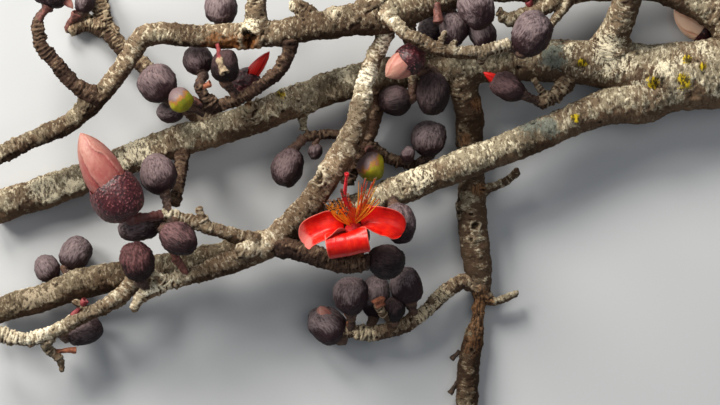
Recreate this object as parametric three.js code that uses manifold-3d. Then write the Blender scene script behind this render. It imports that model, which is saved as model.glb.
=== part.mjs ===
// A cut flowering bough of a silk cotton tree, lying on the ground.
// Millimetres, +Z up. Seen from above, +X runs towards the sawn end of the main bough.
import * as THREE from 'three';
import { mergeVertices } from 'three/addons/utils/BufferGeometryUtils.js';
import Module from 'manifold-3d';

const wasm = await Module();
wasm.setup();

// Driving dimensions
const GAP = 0.32;
const SAWN_ACROSS = 785;
const PRUNED_DOWN = 415;
const RING_PITCH = 1.15;
const BOUGH_SIDES = 12;
const LIMB_SIDES = 10;
const TWIG_SIDES = 8;
const SHOOT_SIDES = 6;
const BUD_SIDES = 9;
const BUD_RINGS = 5;
const STALK_THICKNESS = 9;
const PETAL_LENGTH = 58;
const PETAL_THICKNESS = 2.4;
const PETAL_ROOT_RADIUS = 9;
const PETAL_ROOT_WIDTH = 7;
const CALYX_HEIGHT = 28;
const CALYX_WIDTH = 30;
const STYLE_REACH = 60;
const FILAMENT_THICKNESS = 2.2;
const SAW_BLOCK = 200;

// Colours, roughness and metalness
const BARK = { color: 0x8d8271, roughness: 0.95, metalness: 0 };
const PALE_BARK = { color: 0xb5a98d, roughness: 0.95, metalness: 0 };
const TWIG_BARK = { color: 0x83715d, roughness: 0.9, metalness: 0 };
const BUD_SKIN = { color: 0x4f333a, roughness: 0.7, metalness: 0 };
const GREEN_BUD_SKIN = { color: 0x9a9a2c, roughness: 0.55, metalness: 0 };
const PALE_PETAL = { color: 0xe0988a, roughness: 0.5, metalness: 0 };
const RED_PETAL = { color: 0xe02d1c, roughness: 0.4, metalness: 0 };
const STAMEN = { color: 0xc8281e, roughness: 0.5, metalness: 0 };

// Places are told as [across, down, height], in mm: across to the right and down from
// the topmost left corner of the bough as it lies, and height above the ground.
// A station of a limb adds its thickness there.
function place(station) {
  return new THREE.Vector3(station[0], -station[1], station[2]);
}

function asStation(point, thickness) {
  return [point.x, -point.y, point.z, thickness];
}

const LIMBS = [
  {
    name: 'main_bough', finish: BARK, sides: BOUGH_SIDES, sawnAcross: SAWN_ACROSS,
    stations: [
      [796, 62, 36, 72], [740, 69, 37, 68], [690, 76, 39, 69], [655, 74, 41, 62],
      [622, 67, 42, 51], [555, 61, 42, 43], [500, 63, 40, 37], [430, 69, 38, 34],
      [366, 78, 36, 34], [295, 101, 34, 33], [246, 121, 31, 31], [178, 142, 28, 31],
      [133, 158, 25, 30], [67, 184, 20, 31], [-10, 209, 17, 33],
    ],
    shoots: [
      [[251, 119, 33, 12], [250, 110, 44, 12], [251, 104, 51, 10]],
      [[303, 104, 30, 9], [303, 118, 26, 9], [303, 131, 23, 8]],
    ],
  },
  {
    name: 'lower_bough', finish: BARK, sides: BOUGH_SIDES, on: ['main_bough'],
    stations: [
      [680, 82, 41, 42], [645, 97, 44, 39], [600, 109, 48, 35], [556, 128, 50, 31],
      [514, 145, 53, 30], [452, 169, 55, 30], [406, 188, 54, 30], [340, 216, 50, 29],
      [280, 239, 45, 28], [230, 252, 43, 26], [190, 262, 41, 26], [150, 270, 38, 28],
      [80, 284, 32, 30], [34, 301, 27, 27], [-10, 313, 23, 27],
    ],
  },
  {
    name: 'hanging_bough', finish: BARK, sides: LIMB_SIDES, on: ['main_bough'], prunedDown: PRUNED_DOWN,
    stations: [
      [465, 67, 38, 25], [463, 84, 34, 26], [470, 120, 25, 29], [471, 150, 19, 26],
      [472, 180, 17, 26], [472, 209, 17, 30], [475, 240, 17, 31], [479, 270, 17, 28],
      [481, 290, 16, 21], [480, 303, 15, 12], [478, 322, 14, 13], [474, 340, 13, 21],
      [469, 366, 12, 22], [467, 425, 10.8, 22],
    ],
    shoots: [
      [[481, 290, 16, 9], [492, 302, 16, 9], [506, 298, 17, 8], [520, 293, 17, 7]],
      [[472, 193, 17, 10], [488, 189, 18, 9], [505, 182, 19, 8], [515, 174, 20, 7], [519, 167, 21, 6]],
      [[505, 182, 19, 8], [512, 177, 19, 7], [521, 173, 19, 6]],
    ],
  },
  {
    name: 'top_limb', finish: BARK, sides: LIMB_SIDES, on: ['main_bough'],
    stations: [
      [760, 58, 38, 50], [730, 16, 42, 46], [700, -1, 44, 42], [665, -17, 44, 40],
      [620, -19, 44, 40], [570, -16, 48, 38], [530, -16, 56, 36], [480, -14, 66, 34],
      [430, -2, 74, 35], [390, 16, 82, 38], [355, 21, 86, 31], [309, 28, 88, 27],
      [268, 35, 88, 25], [200, 37, 86, 23], [160, 34, 84, 22],
    ],
    shoots: [
      [[372, 12, 82, 30], [362, -2, 80, 26]],
      [[258, 34, 88, 18], [257, 14, 92, 19], [257, -6, 96, 18]],
      [[318, 27, 86, 15], [300, 8, 84, 15], [290, 6, 84, 14]],
      [[244, 36, 88, 22], [246, 46, 88, 14]],
      [[558, -15, 50, 16], [549, 3, 58, 15], [530, 12, 60, 14], [511, 20, 60, 14], [500, 14, 61, 10]],
      [[571, -15, 48, 10], [566, 4, 58, 10], [549, 27, 62, 8]],
    ],
  },
  {
    name: 'left_limb', finish: BARK, sides: LIMB_SIDES, on: ['top_limb'],
    stations: [
      [160, 34, 84, 22], [144, 37, 83, 22], [131, 55, 82, 20], [115, 79, 80, 19],
      [98, 98, 77, 20], [69, 124, 73, 19], [46, 134, 71, 18], [17, 147, 68, 18],
      [-10, 161, 66, 18],
    ],
    shoots: [[[90, 106, 76, 14], [80, 104, 84, 11]]],
  },
  {
    name: 'stub_limb', finish: BARK, sides: LIMB_SIDES, on: ['main_bough'],
    stations: [[612, 65, 42, 30], [613, 40, 52, 30], [621, 20, 70, 29], [630, -12, 86, 29]],
  },
  {
    name: 'cross_limb', finish: PALE_BARK, sides: LIMB_SIDES, on: ['top_limb'],
    stations: [
      [386, 20, 82, 16], [383, 40, 76, 16], [372, 63, 73, 17], [364, 90, 73, 19],
      [355, 130, 73, 24], [326, 181, 74, 25], [304, 211, 75, 26], [280, 236, 76, 27],
      [262, 248, 77, 28], [238, 259, 78, 24], [200, 274, 80, 17], [169, 282, 82, 15],
      [146, 293, 82, 13],
    ],
    shoots: [
      [[256, 250, 80, 18], [244, 250, 90, 15], [238, 248, 94, 13]],
      [[166, 283, 82, 9], [158, 276, 90, 7], [152, 273, 94, 6]],
      [[150, 290, 82, 11], [140, 298, 84, 10], [134, 312, 84, 7]],
    ],
  },
  {
    name: 'flower_twig', finish: TWIG_BARK, sides: TWIG_SIDES, on: ['cross_limb'],
    stations: [
      [272, 243, 77, 19], [290, 248, 80, 19], [320, 257, 86, 19], [345, 264, 92, 18],
      [366, 264, 97, 16],
    ],
  },
  {
    name: 'spur_twig', finish: PALE_BARK, sides: TWIG_SIDES, on: ['cross_limb'],
    stations: [
      [264, 248, 78, 15], [252, 241, 84, 14], [235, 236, 88, 14], [212, 229, 90, 13],
      [189, 221, 91, 13], [160, 214, 92, 12],
    ],
    shoots: [[[204, 226, 90, 10], [201, 214, 94, 8], [200, 206, 96, 7]]],
  },
  {
    name: 'low_twig', finish: TWIG_BARK, sides: TWIG_SIDES, on: ['hanging_bough'],
    stations: [
      [481, 286, 17, 14], [464, 282, 18, 14], [449, 290, 20, 14], [434, 304, 22, 14],
      [418, 318, 24, 15], [395, 329, 25, 15], [372, 334, 26, 14], [349, 332, 27, 13],
      [337, 334, 28, 12],
    ],
    shoots: [[[396, 329, 26, 9], [386, 317, 42, 8], [376, 304, 56, 8]]],
    buds: [
      { centre: [394, 310, 38], length: 26, width: 21, aim: [0, -1, 0.2], root: [392, 329, 26] },
    ],
  },
  {
    name: 'short_twig', finish: TWIG_BARK, sides: TWIG_SIDES, on: ['main_bough'],
    stations: [[568, 64, 42, 17], [565, 84, 50, 16], [552, 97, 56, 14], [537, 105, 60, 13]],
    shoots: [[[548, 99, 57, 8], [541, 90, 62, 6], [533, 79, 66, 5]]],
  },
  {
    name: 'long_spur', finish: PALE_BARK, sides: TWIG_SIDES, on: ['top_limb'],
    stations: [
      [384, 14, 84, 15], [390, 20, 104, 14], [405, 34, 112, 13], [429, 46, 112, 13],
      [446, 52, 110, 13], [469, 54, 107, 13], [492, 50, 104, 12], [511, 45, 102, 12],
    ],
    shoots: [[[480, 54, 106, 10], [481, 65, 100, 8]]],
  },
  {
    name: 'curved_twig', finish: TWIG_BARK, sides: TWIG_SIDES, on: ['top_limb'],
    stations: [
      [287, 32, 88, 15], [290, 50, 90, 14], [283, 66, 88, 13], [270, 80, 86, 13],
      [252, 92, 84, 13], [230, 103, 80, 12], [206, 110, 76, 12],
    ],
    shoots: [[[214, 108, 78, 13], [205, 96, 84, 12], [199, 85, 88, 10]]],
    buds: [
      { centre: [170, 112, 60], length: 26, width: 22, aim: [-1, 0.1, -0.2], root: [216, 107, 78] },
    ],
  },
  {
    name: 'corner_twig', finish: TWIG_BARK, sides: TWIG_SIDES, on: ['left_limb'],
    stations: [
      [99, 99, 77, 17], [86, 92, 84, 17], [70, 80, 88, 16], [55, 62, 90, 15], [42, 45, 92, 14],
      [38, 18, 92, 12],
    ],
  },
  {
    name: 'rear_twig', finish: TWIG_BARK, sides: TWIG_SIDES, on: ['main_bough'],
    stations: [
      [222, 133, 30, 18], [202, 118, 26, 18], [178, 100, 22, 17], [158, 82, 19, 17],
      [140, 63, 16, 17], [120, 46, 13, 17], [106, 28, 10.5, 16], [96, -10, 8.5, 16],
    ],
    shoots: [
      [[103, 25, 10, 16], [86, 23, 11, 15], [72, 27, 12, 13], [65, 29, 12, 11]],
      [[108, 32, 11, 10], [117, 27, 12, 8]],
    ],
    buds: [{ centre: [84, 0, 22], length: 26, width: 20, aim: [0.2, -1, 0.1], root: [74, 24, 13] }],
  },
  {
    name: 'inner_twig', finish: TWIG_BARK, sides: TWIG_SIDES, on: ['main_bough'],
    stations: [[181, 141, 28, 14], [181, 162, 38, 14], [178, 184, 50, 13], [174, 206, 60, 12]],
  },
  {
    name: 'drooping_twig', finish: TWIG_BARK, sides: TWIG_SIDES, on: ['main_bough'],
    stations: [[372, 77, 36, 21], [373, 112, 31, 20], [362, 146, 27, 20], [345, 184, 24, 15]],
    shoots: [
      [[366, 138, 28, 12], [334, 134, 32, 11], [303, 137, 34, 9]],
      [[364, 143, 28, 12], [389, 158, 28, 11], [419, 166, 26, 10]],
    ],
    buds: [
      { centre: [315, 151, 34], length: 17, width: 15, aim: [-0.1, 1, 0], root: [320, 134, 33] },
      { centre: [408, 155, 40], length: 17, width: 15, aim: [0.2, -1, 0.5], root: [404, 162, 27] },
    ],
  },
  {
    name: 'lower_left_twig', finish: PALE_BARK, sides: TWIG_SIDES, on: ['lower_bough'],
    stations: [
      [138, 273, 37, 16], [126, 291, 50, 15], [110, 304, 56, 15], [80, 318, 57, 14],
      [55, 331, 54, 14], [25, 340, 50, 14], [0, 334, 46, 14], [-10, 330, 45, 14],
    ],
    shoots: [
      [[52, 332, 54, 9], [46, 347, 48, 9], [58, 358, 42, 8], [62, 372, 38, 6]],
      [[88, 314, 57, 9], [79, 304, 62, 7], [72, 302, 64, 6]],
    ],
  },
  {
    name: 'middle_shoot', finish: TWIG_BARK, sides: SHOOT_SIDES, on: ['top_limb'],
    stations: [[404, 8, 78, 14], [408, 30, 74, 13], [413, 58, 68, 12], [414, 84, 64, 11]],
  },
];

// A bud has a centre, a length and a width, the way its tip aims and the place on its twig
// that its stalk grows from. Its twig is the limb it is on.
const BUDS = [
  { name: 'bud_left_outer', on: 'curved_twig', centre: [158, 84, 80], length: 41, width: 37,
    aim: [-0.8, -1, 0.1], root: [205, 112, 73] },
  { name: 'bud_green_front', on: 'curved_twig', centre: [181, 100, 100], length: 31, width: 24,
    aim: [0.1, 0.3, 0.9], root: [214, 108, 78], green: true },
  { name: 'bud_left_upper', on: 'curved_twig', centre: [198, 60, 62], length: 33, width: 28,
    aim: [-0.3, -0.9, -0.3], root: [199, 87, 87] },
  { name: 'bud_left_middle', on: 'curved_twig', centre: [226, 66, 98], length: 35, width: 30,
    aim: [0, -1, 0.3], root: [239, 99, 82] },
  { name: 'bud_top_left', on: 'top_limb', centre: [222, 7, 70], length: 36, width: 33,
    aim: [0.1, -1, 0.1], root: [220, 38, 80] },
  { name: 'bud_corner', on: 'corner_twig', centre: [54, -11, 94], length: 38, width: 38,
    aim: [0.3, -1, 0], root: [38, 22, 92] },
  { name: 'bud_spur_upper', on: 'spur_twig', centre: [159, 175, 84], length: 40, width: 33,
    aim: [-0.35, -1, -0.1], root: [170, 217, 92] },
  { name: 'bud_spur_left', on: 'spur_twig', centre: [139, 228, 80], length: 42, width: 29,
    aim: [-1, 0.15, -0.2], root: [176, 218, 92] },
  { name: 'bud_spur_lower', on: 'spur_twig', centre: [180, 239, 118], length: 38, width: 33,
    aim: [0.8, 0.5, 0.3], root: [178, 219, 92] },
  { name: 'bud_ribbed', on: 'cross_limb', centre: [138, 262, 98], length: 42, width: 36,
    aim: [-0.2, -1, 0.3], root: [150, 291, 82] },
  { name: 'bud_far_left', on: 'lower_bough', centre: [75, 254, 21], length: 37, width: 31,
    aim: [0.6, -1, 0], root: [76, 285, 32] },
  { name: 'bud_far_left_small', on: 'lower_bough', centre: [46, 269, 16], length: 29, width: 27,
    aim: [-0.6, -1, 0], root: [54, 294, 29] },
  { name: 'bud_low_left', on: 'lower_left_twig', centre: [84, 331, 28], length: 38, width: 29,
    aim: [1, -0.35, 0], root: [55, 331, 54] },
  { name: 'bud_middle_left', on: 'drooping_twig', centre: [288, 167, 38], length: 37, width: 33,
    aim: [-0.3, 1, 0.2], root: [304, 137, 34] },
  { name: 'bud_green_middle', on: 'drooping_twig', centre: [372, 167, 56], length: 29, width: 27,
    aim: [0, 1, 0.5], root: [368, 146, 28], green: true },
  { name: 'bud_round', on: 'drooping_twig', centre: [430, 139, 30], length: 38, width: 35,
    aim: [0.1, -1, 0.3], root: [416, 165, 26] },
  { name: 'bud_shoot_left', on: 'middle_shoot', centre: [396, 100, 56], length: 34, width: 29,
    aim: [-1, 0.2, -0.2], root: [414, 80, 65] },
  { name: 'bud_shoot_right', on: 'middle_shoot', centre: [432, 93, 71], length: 45, width: 32,
    aim: [0, 1, 0], root: [414, 74, 66] },
  { name: 'bud_shoot_upper', on: 'middle_shoot', centre: [438, 28, 38], length: 37, width: 34,
    aim: [0.9, -0.4, 0], root: [410, 40, 72] },
  { name: 'bud_top_inner', on: 'top_limb', centre: [453, 29, 70], length: 38, width: 30,
    aim: [0.1, 1, 0], root: [452, -8, 70] },
  { name: 'bud_top_middle', on: 'top_limb', centre: [476, 10, 102], length: 44, width: 38,
    aim: [0.3, 0.7, 0.5], root: [468, -13, 68] },
  { name: 'bud_under_spur', on: 'top_limb', centre: [482, 34, 66], length: 37, width: 28,
    aim: [0.5, 1, 0], root: [468, -10, 69] },
  { name: 'bud_spur_end', on: 'long_spur', centre: [531, 33, 104], length: 46, width: 40,
    aim: [0.5, -1, 0.2], root: [507, 46, 102] },
  { name: 'bud_short_twig', on: 'short_twig', centre: [507, 87, 72], length: 37, width: 27,
    aim: [-1, -0.5, 0], root: [540, 103, 60] },
  { name: 'bud_behind_flower', on: 'lower_bough', centre: [399, 222, 82], length: 42, width: 34,
    aim: [0.3, 1, 0.5], root: [394, 193, 54] },
  { name: 'bud_flower_end', on: 'flower_twig', centre: [386, 261, 84], length: 37, width: 35,
    aim: [1, 0.1, -0.2], root: [364, 267, 95] },
  { name: 'bud_low_upper', on: 'low_twig', centre: [351, 295, 48], length: 38, width: 36,
    aim: [0, -1, 0.3], root: [350, 332, 27] },
  { name: 'bud_low_left_end', on: 'low_twig', centre: [327, 326, 25], length: 42, width: 36,
    aim: [-1, -0.9, 0.1], root: [345, 332, 27] },
  { name: 'bud_low_right', on: 'low_twig', centre: [407, 285, 42], length: 38, width: 33,
    aim: [-0.2, -1, 0.3], root: [416, 320, 24] },
  { name: 'bud_low_inner', on: 'low_twig', centre: [376, 296, 19], length: 42, width: 30,
    aim: [0.1, -1, 0], root: [368, 334, 26] },
];

// An opening bud is a warty calyx with a cone of folded petals standing out of it.
const OPENING_BUDS = [
  {
    name: 'opening_bud_left', on: 'spur_twig', centre: [118, 196, 118], length: 54, width: 53,
    aim: [-0.52, -0.86, 0.1], petals: 46, cone: 42, root: [164, 215, 92],
  },
  {
    name: 'opening_bud_middle', on: 'middle_shoot', centre: [409, 60, 97], length: 31, width: 32,
    aim: [-0.8, 0.55, 0.1], petals: 14, cone: 29, root: [413, 58, 68],
  },
  {
    name: 'opening_bud_right', on: 'main_bough', centre: [703, 31, 17], length: 24, width: 23,
    aim: [-0.8, -0.6, 0.05], petals: 24, cone: 27, root: [738, 68, 37],
  },
  {
    name: 'opening_bud_top', on: 'curved_twig', centre: [246, 82, 56], length: 30, width: 28,
    aim: [0.6, -0.8, 0.3], petals: 26, cone: 19, root: [254, 91, 83],
  },
];

// The open flower stands on the flower twig and faces up and out of its fan of limbs.
const FLOWER = {
  foot: [358, 249.4, 97],
  facing: [-0.18, -0.78, 0.6],
  petals: [
    { turn: 1, length: 0.84, width: 36, lean: [64, 142], cup: 24, twist: 35, aside: 0 },
    { turn: 62, length: 0.6, width: 14, lean: [54, 137], cup: 30, twist: 0, aside: 0 },
    { turn: 116, length: 0.6, width: 14, lean: [54, 137], cup: 30, twist: 0, aside: 0 },
    { turn: 174, length: 0.84, width: 28, lean: [60, 134], cup: 22, twist: -40, aside: 0 },
    { turn: 274, length: 0.8, width: 43, lean: [22, 264], cup: 200, twist: 0, aside: -7 },
  ],
  filaments: 12,
};

// Solids from loops of points
function solidFrom(positions, triangles) {
  return new wasm.Manifold(new wasm.Mesh({
    numProp: 3,
    vertProperties: new Float32Array(positions),
    triVerts: new Uint32Array(triangles),
  }));
}

function signedVolume(positions, triangles) {
  const a = new THREE.Vector3();
  const b = new THREE.Vector3();
  const c = new THREE.Vector3();
  let sum = 0;
  for (let i = 0; i < triangles.length; i += 3) {
    a.fromArray(positions, triangles[i] * 3);
    b.fromArray(positions, triangles[i + 1] * 3);
    c.fromArray(positions, triangles[i + 2] * 3);
    sum += a.dot(b.cross(c));
  }
  return sum / 6;
}

function solidFromGeometry(geometry) {
  geometry.deleteAttribute('normal');
  geometry.deleteAttribute('uv');
  const merged = mergeVertices(geometry, 1e-3);
  const positions = Array.from(merged.attributes.position.array);
  const index = merged.index.array;
  const triangles = [];
  for (let i = 0; i < index.length; i += 3) {
    const [a, b, c] = [index[i], index[i + 1], index[i + 2]];
    if (a !== b && b !== c && c !== a) {
      triangles.push(a, b, c);
    }
  }
  if (signedVolume(positions, triangles) < 0) {
    triangles.reverse();
  }
  return solidFrom(positions, triangles);
}

function largestPiece(solid) {
  let best = null;
  for (const piece of solid.decompose()) {
    if (best === null || piece.volume() > best.volume()) {
      best = piece;
    }
  }
  return best;
}

// A tapering limb: rings round a smooth line through its stations, closed by flat ends
function taperedLimb(stations, sides, growth = 0) {
  const curve = new THREE.CatmullRomCurve3(stations.map(place), false, 'centripetal');
  const meanThickness = stations.reduce((sum, s) => sum + s[3], 0) / stations.length;
  const pitches = Math.round(curve.getLength() / (RING_PITCH * meanThickness));
  const rings = stations.length === 2 ? 1 : pitches + 1;
  const frames = curve.computeFrenetFrames(rings, false);
  const positions = [];
  const triangles = [];
  for (let i = 0; i <= rings; i++) {
    const t = curve.getUtoTmapping(i / rings, 0);
    const centre = curve.getPoint(t);
    if (i === 0 || i === rings) {
      centre.addScaledVector(frames.tangents[i], i === 0 ? -growth : growth);
    }
    const radius = thicknessAlong(stations, t) / 2 + growth / Math.cos(Math.PI / sides);
    for (let j = 0; j < sides; j++) {
      const turn = (2 * Math.PI * j) / sides;
      const rim = centre.clone();
      rim.addScaledVector(frames.normals[i], radius * Math.cos(turn));
      rim.addScaledVector(frames.binormals[i], radius * Math.sin(turn));
      positions.push(rim.x, rim.y, rim.z);
    }
  }
  for (let i = 0; i < rings; i++) {
    for (let j = 0; j < sides; j++) {
      const a = i * sides + j;
      const b = i * sides + ((j + 1) % sides);
      triangles.push(a, b, b + sides);
      triangles.push(a, b + sides, a + sides);
    }
  }
  for (let j = 1; j < sides - 1; j++) {
    const last = rings * sides;
    triangles.push(0, j + 1, j);
    triangles.push(last, last + j, last + j + 1);
  }
  return solidFrom(positions, triangles);
}

function thicknessAlong(stations, t) {
  const reach = t * (stations.length - 1);
  const i = Math.min(Math.floor(reach), stations.length - 2);
  return THREE.MathUtils.lerp(stations[i][3], stations[i + 1][3], reach - i);
}

// A block that takes away everything beyond a flat cut
function sawBlock(across, down, alongAcross) {
  const block = new THREE.BoxGeometry(SAW_BLOCK, SAW_BLOCK, SAW_BLOCK);
  const half = SAW_BLOCK / 2;
  if (alongAcross) {
    block.translate(across + half, -down, 0);
  } else {
    block.translate(across, -down - half, 0);
  }
  return solidFromGeometry(block);
}

function limbSolid(limb, growth = 0) {
  let solid = taperedLimb(limb.stations, limb.sides, growth);
  for (const shoot of limb.shoots ?? []) {
    solid = solid.add(taperedLimb(shoot, SHOOT_SIDES, growth));
  }
  for (const bud of limb.buds ?? []) {
    solid = solid.add(budSolid(bud, growth));
  }
  if (limb.sawnAcross !== undefined && growth === 0) {
    solid = solid.subtract(sawBlock(limb.sawnAcross, limb.stations[0][1], true));
  }
  if (limb.prunedDown !== undefined && growth === 0) {
    const tip = limb.stations[limb.stations.length - 1];
    solid = solid.subtract(sawBlock(tip[0], limb.prunedDown, false));
  }
  return solid;
}

// An egg shape that points along its bud's aim
function eggSolid(bud) {
  const outline = [];
  for (let i = 0; i <= BUD_RINGS; i++) {
    const turn = (Math.PI * i) / BUD_RINGS;
    const fullness = Math.pow(Math.sin(turn), 0.85);
    const x = i === 0 || i === BUD_RINGS ? 0 : (bud.width / 2) * fullness;
    outline.push(new THREE.Vector2(x, -Math.cos(turn) * 0.5 * bud.length));
  }
  return turnedSolid(outline, place(bud.centre), place(bud.aim));
}

// An outline turned round its own line, stood at a place and pointed along an aim
function turnedSolid(outline, foot, aim) {
  const shape = new THREE.LatheGeometry(outline, BUD_SIDES);
  const up = new THREE.Vector3(0, 1, 0);
  shape.applyQuaternion(new THREE.Quaternion().setFromUnitVectors(up, aim.clone().normalize()));
  shape.translate(foot.x, foot.y, foot.z);
  return solidFromGeometry(shape);
}

function stalkSolid(bud, growth = 0) {
  const aim = place(bud.aim).normalize();
  const centre = place(bud.centre);
  const root = place(bud.root);
  const seat = centre.clone().addScaledVector(aim, -bud.length * 0.3);
  const base = centre.clone().addScaledVector(aim, -bud.length * 0.55);
  const thick = Math.min(STALK_THICKNESS, bud.width * 0.32);
  const middle = root.clone().lerp(base, 0.6);
  const stations = [
    asStation(root, thick),
    asStation(middle, thick),
    asStation(base, thick * 1.1),
    asStation(seat, thick * 1.5),
  ];
  return taperedLimb(stations, SHOOT_SIDES, growth);
}

function budSolid(bud, growth = 0) {
  const grownBud = { ...bud, length: bud.length + 3 * growth, width: bud.width + 3 * growth };
  return eggSolid(grownBud).add(stalkSolid(bud, growth));
}

// Folded petals: a cone with full sides that starts inside the calyx
function petalConeSolid(bud) {
  const outline = [new THREE.Vector2(0, 0)];
  const steps = 7;
  const reach = bud.length * 0.5 + bud.petals;
  for (let i = 0; i < steps; i++) {
    const t = i / steps;
    const beyond = Math.max(0, t - 0.3) / 0.7;
    const radius = (bud.cone / 2) * (1 - 0.1 * Math.max(0, 1 - t / 0.3)) * coneWidth(beyond);
    outline.push(new THREE.Vector2(radius, reach * t));
  }
  outline.push(new THREE.Vector2(0, reach));
  return turnedSolid(outline, place(bud.centre), place(bud.aim));
}

// The width of a full-sided cone, from its widest place to its tip
function coneWidth(beyond) {
  return Math.pow(1 - Math.pow(beyond, 1.9), 0.75);
}

// Flower parts, round the flower's own axis
function flowerFrame() {
  const axis = place(FLOWER.facing).normalize();
  const right = new THREE.Vector3(1, 0, 0).addScaledVector(axis, -axis.x).normalize();
  const rear = new THREE.Vector3().crossVectors(axis, right);
  const throat = place(FLOWER.foot).addScaledVector(axis, CALYX_HEIGHT);
  return { axis, right, rear, throat };
}

function calyxSolid() {
  const { axis } = flowerFrame();
  const half = CALYX_WIDTH / 2;
  const outline = [[0, -0.32], [0.36, -0.32], [0.4, 0], [0.8, 0.2], [1, 0.55], [0.96, 1], [0, 1]];
  const points = outline.map(([x, y]) => new THREE.Vector2(x * half, y * CALYX_HEIGHT));
  return turnedSolid(points, place(FLOWER.foot), axis);
}

// A petal: a curved strip that leaves the throat, leans out, curls over and turns its face
function petalSolid(petal) {
  const { axis, right, rear, throat } = flowerFrame();
  const turn = THREE.MathUtils.degToRad(petal.turn);
  const out = right.clone().multiplyScalar(Math.cos(turn)).addScaledVector(rear, Math.sin(turn));
  const rim = new THREE.Vector3().crossVectors(axis, out);
  const steps = 12;
  const strips = 4;
  const length = PETAL_LENGTH * petal.length;
  const rise = GAP + (PETAL_THICKNESS / 2) * Math.sin(THREE.MathUtils.degToRad(petal.lean[0]));
  const middle = throat.clone().addScaledVector(out, PETAL_ROOT_RADIUS).addScaledVector(axis, rise);
  middle.addScaledVector(rim, petal.aside);
  const positions = [];
  const under = [];
  for (let i = 0; i <= steps; i++) {
    const t = i / steps;
    const lean = THREE.MathUtils.degToRad(THREE.MathUtils.lerp(petal.lean[0], petal.lean[1], t));
    const along = axis.clone().multiplyScalar(Math.cos(lean)).addScaledVector(out, Math.sin(lean));
    const flat = axis.clone().multiplyScalar(Math.sin(lean)).addScaledVector(out, -Math.cos(lean));
    const twist = THREE.MathUtils.degToRad(petal.twist) * Math.min(1, t * 2);
    const across = rim.clone().multiplyScalar(Math.cos(twist)).addScaledVector(flat, Math.sin(twist));
    const inner = flat.clone().multiplyScalar(Math.cos(twist)).addScaledVector(rim, -Math.sin(twist));
    if (i > 0) {
      middle.addScaledVector(along, length / steps);
    }
    const width = petalWidth(petal.width, t);
    const bend = THREE.MathUtils.lerp(1 / PETAL_ROOT_RADIUS, 1 / petal.cup, Math.min(1, t * 3));
    for (let j = 0; j <= strips; j++) {
      const angle = (j / strips - 0.5) * width * bend;
      const spot = middle.clone();
      spot.addScaledVector(across, Math.sin(angle) / bend);
      spot.addScaledVector(inner, (1 - Math.cos(angle)) / bend);
      const face = inner.clone().multiplyScalar(Math.cos(angle)).addScaledVector(across, -Math.sin(angle));
      const lower = spot.clone().addScaledVector(face, -PETAL_THICKNESS / 2);
      const upper = spot.clone().addScaledVector(face, PETAL_THICKNESS / 2);
      positions.push(upper.x, upper.y, upper.z);
      under.push(lower.x, lower.y, lower.z);
    }
  }
  return sheetSolid(positions, under, steps, strips);
}

// Widens from its root, keeps its width, and ends in a round tip
function petalWidth(full, t) {
  const widened = PETAL_ROOT_WIDTH + (full - PETAL_ROOT_WIDTH) * Math.pow(Math.min(1, t / 0.25), 0.8);
  const tip = Math.max(0, t - 0.6) / 0.42;
  return widened * Math.sqrt(1 - tip * tip);
}

function sheetSolid(upper, lower, steps, strips) {
  const row = strips + 1;
  const offset = (steps + 1) * row;
  const triangles = [];
  const quad = (a, b, c, d) => triangles.push(a, b, c, a, c, d);
  for (let i = 0; i < steps; i++) {
    for (let j = 0; j < strips; j++) {
      const a = i * row + j;
      quad(a, a + 1, a + row + 1, a + row);
      quad(a + offset, a + row + offset, a + row + 1 + offset, a + 1 + offset);
    }
    const left = i * row;
    const rightEdge = i * row + strips;
    quad(left, left + row, left + row + offset, left + offset);
    quad(rightEdge, rightEdge + offset, rightEdge + row + offset, rightEdge + row);
  }
  for (let j = 0; j < strips; j++) {
    const end = steps * row + j;
    quad(j, j + offset, j + 1 + offset, j + 1);
    quad(end, end + 1, end + 1 + offset, end + offset);
  }
  const positions = upper.concat(lower);
  if (signedVolume(positions, triangles) < 0) {
    triangles.reverse();
  }
  return solidFrom(positions, triangles);
}

// Stamens: a low boss with the style and a ring of leaning filaments
function stamenSolid() {
  const { axis, right, rear, throat } = flowerFrame();
  const seat = throat.clone().addScaledVector(axis, GAP);
  const top = seat.clone().addScaledVector(axis, 10);
  let solid = taperedLimb([asStation(seat, 9), asStation(top, 9)], TWIG_SIDES);
  const style = top.clone().addScaledVector(axis, STYLE_REACH).addScaledVector(right, 5);
  const low = seat.clone().addScaledVector(axis, 4);
  solid = solid.add(taperedLimb([asStation(low, 6), asStation(style, 3.5)], SHOOT_SIDES));
  for (let i = 0; i < FLOWER.filaments; i++) {
    const turn = (2 * Math.PI * i) / FLOWER.filaments;
    const out = right.clone().multiplyScalar(Math.cos(turn)).addScaledVector(rear, Math.sin(turn));
    const foot = low.clone().addScaledVector(out, 2.5);
    const tip = top.clone().addScaledVector(axis, 30).addScaledVector(out, 16 + 4 * (i % 2));
    const thick = FILAMENT_THICKNESS;
    solid = solid.add(taperedLimb([asStation(foot, thick), asStation(tip, thick * 0.8)], 4));
  }
  return solid;
}

// Put it together: every piece keeps clear of what carries it
const bough = new THREE.Group();

function clearedOf(solid, carriers) {
  let cleared = solid;
  for (const carrier of carriers) {
    cleared = cleared.subtract(limbSolid(LIMBS.find((limb) => limb.name === carrier), GAP));
  }
  return largestPiece(cleared);
}

function addPart(name, solid, finish) {
  const mesh = solid.getMesh();
  const geometry = new THREE.BufferGeometry();
  geometry.setAttribute('position', new THREE.BufferAttribute(mesh.vertProperties, 3));
  geometry.setIndex(new THREE.BufferAttribute(mesh.triVerts, 1));
  const part = new THREE.Mesh(geometry, new THREE.MeshStandardMaterial(finish));
  part.name = name;
  bough.add(part);
}

for (const limb of LIMBS) {
  addPart(limb.name, clearedOf(limbSolid(limb), limb.on ?? []), limb.finish);
}

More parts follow.
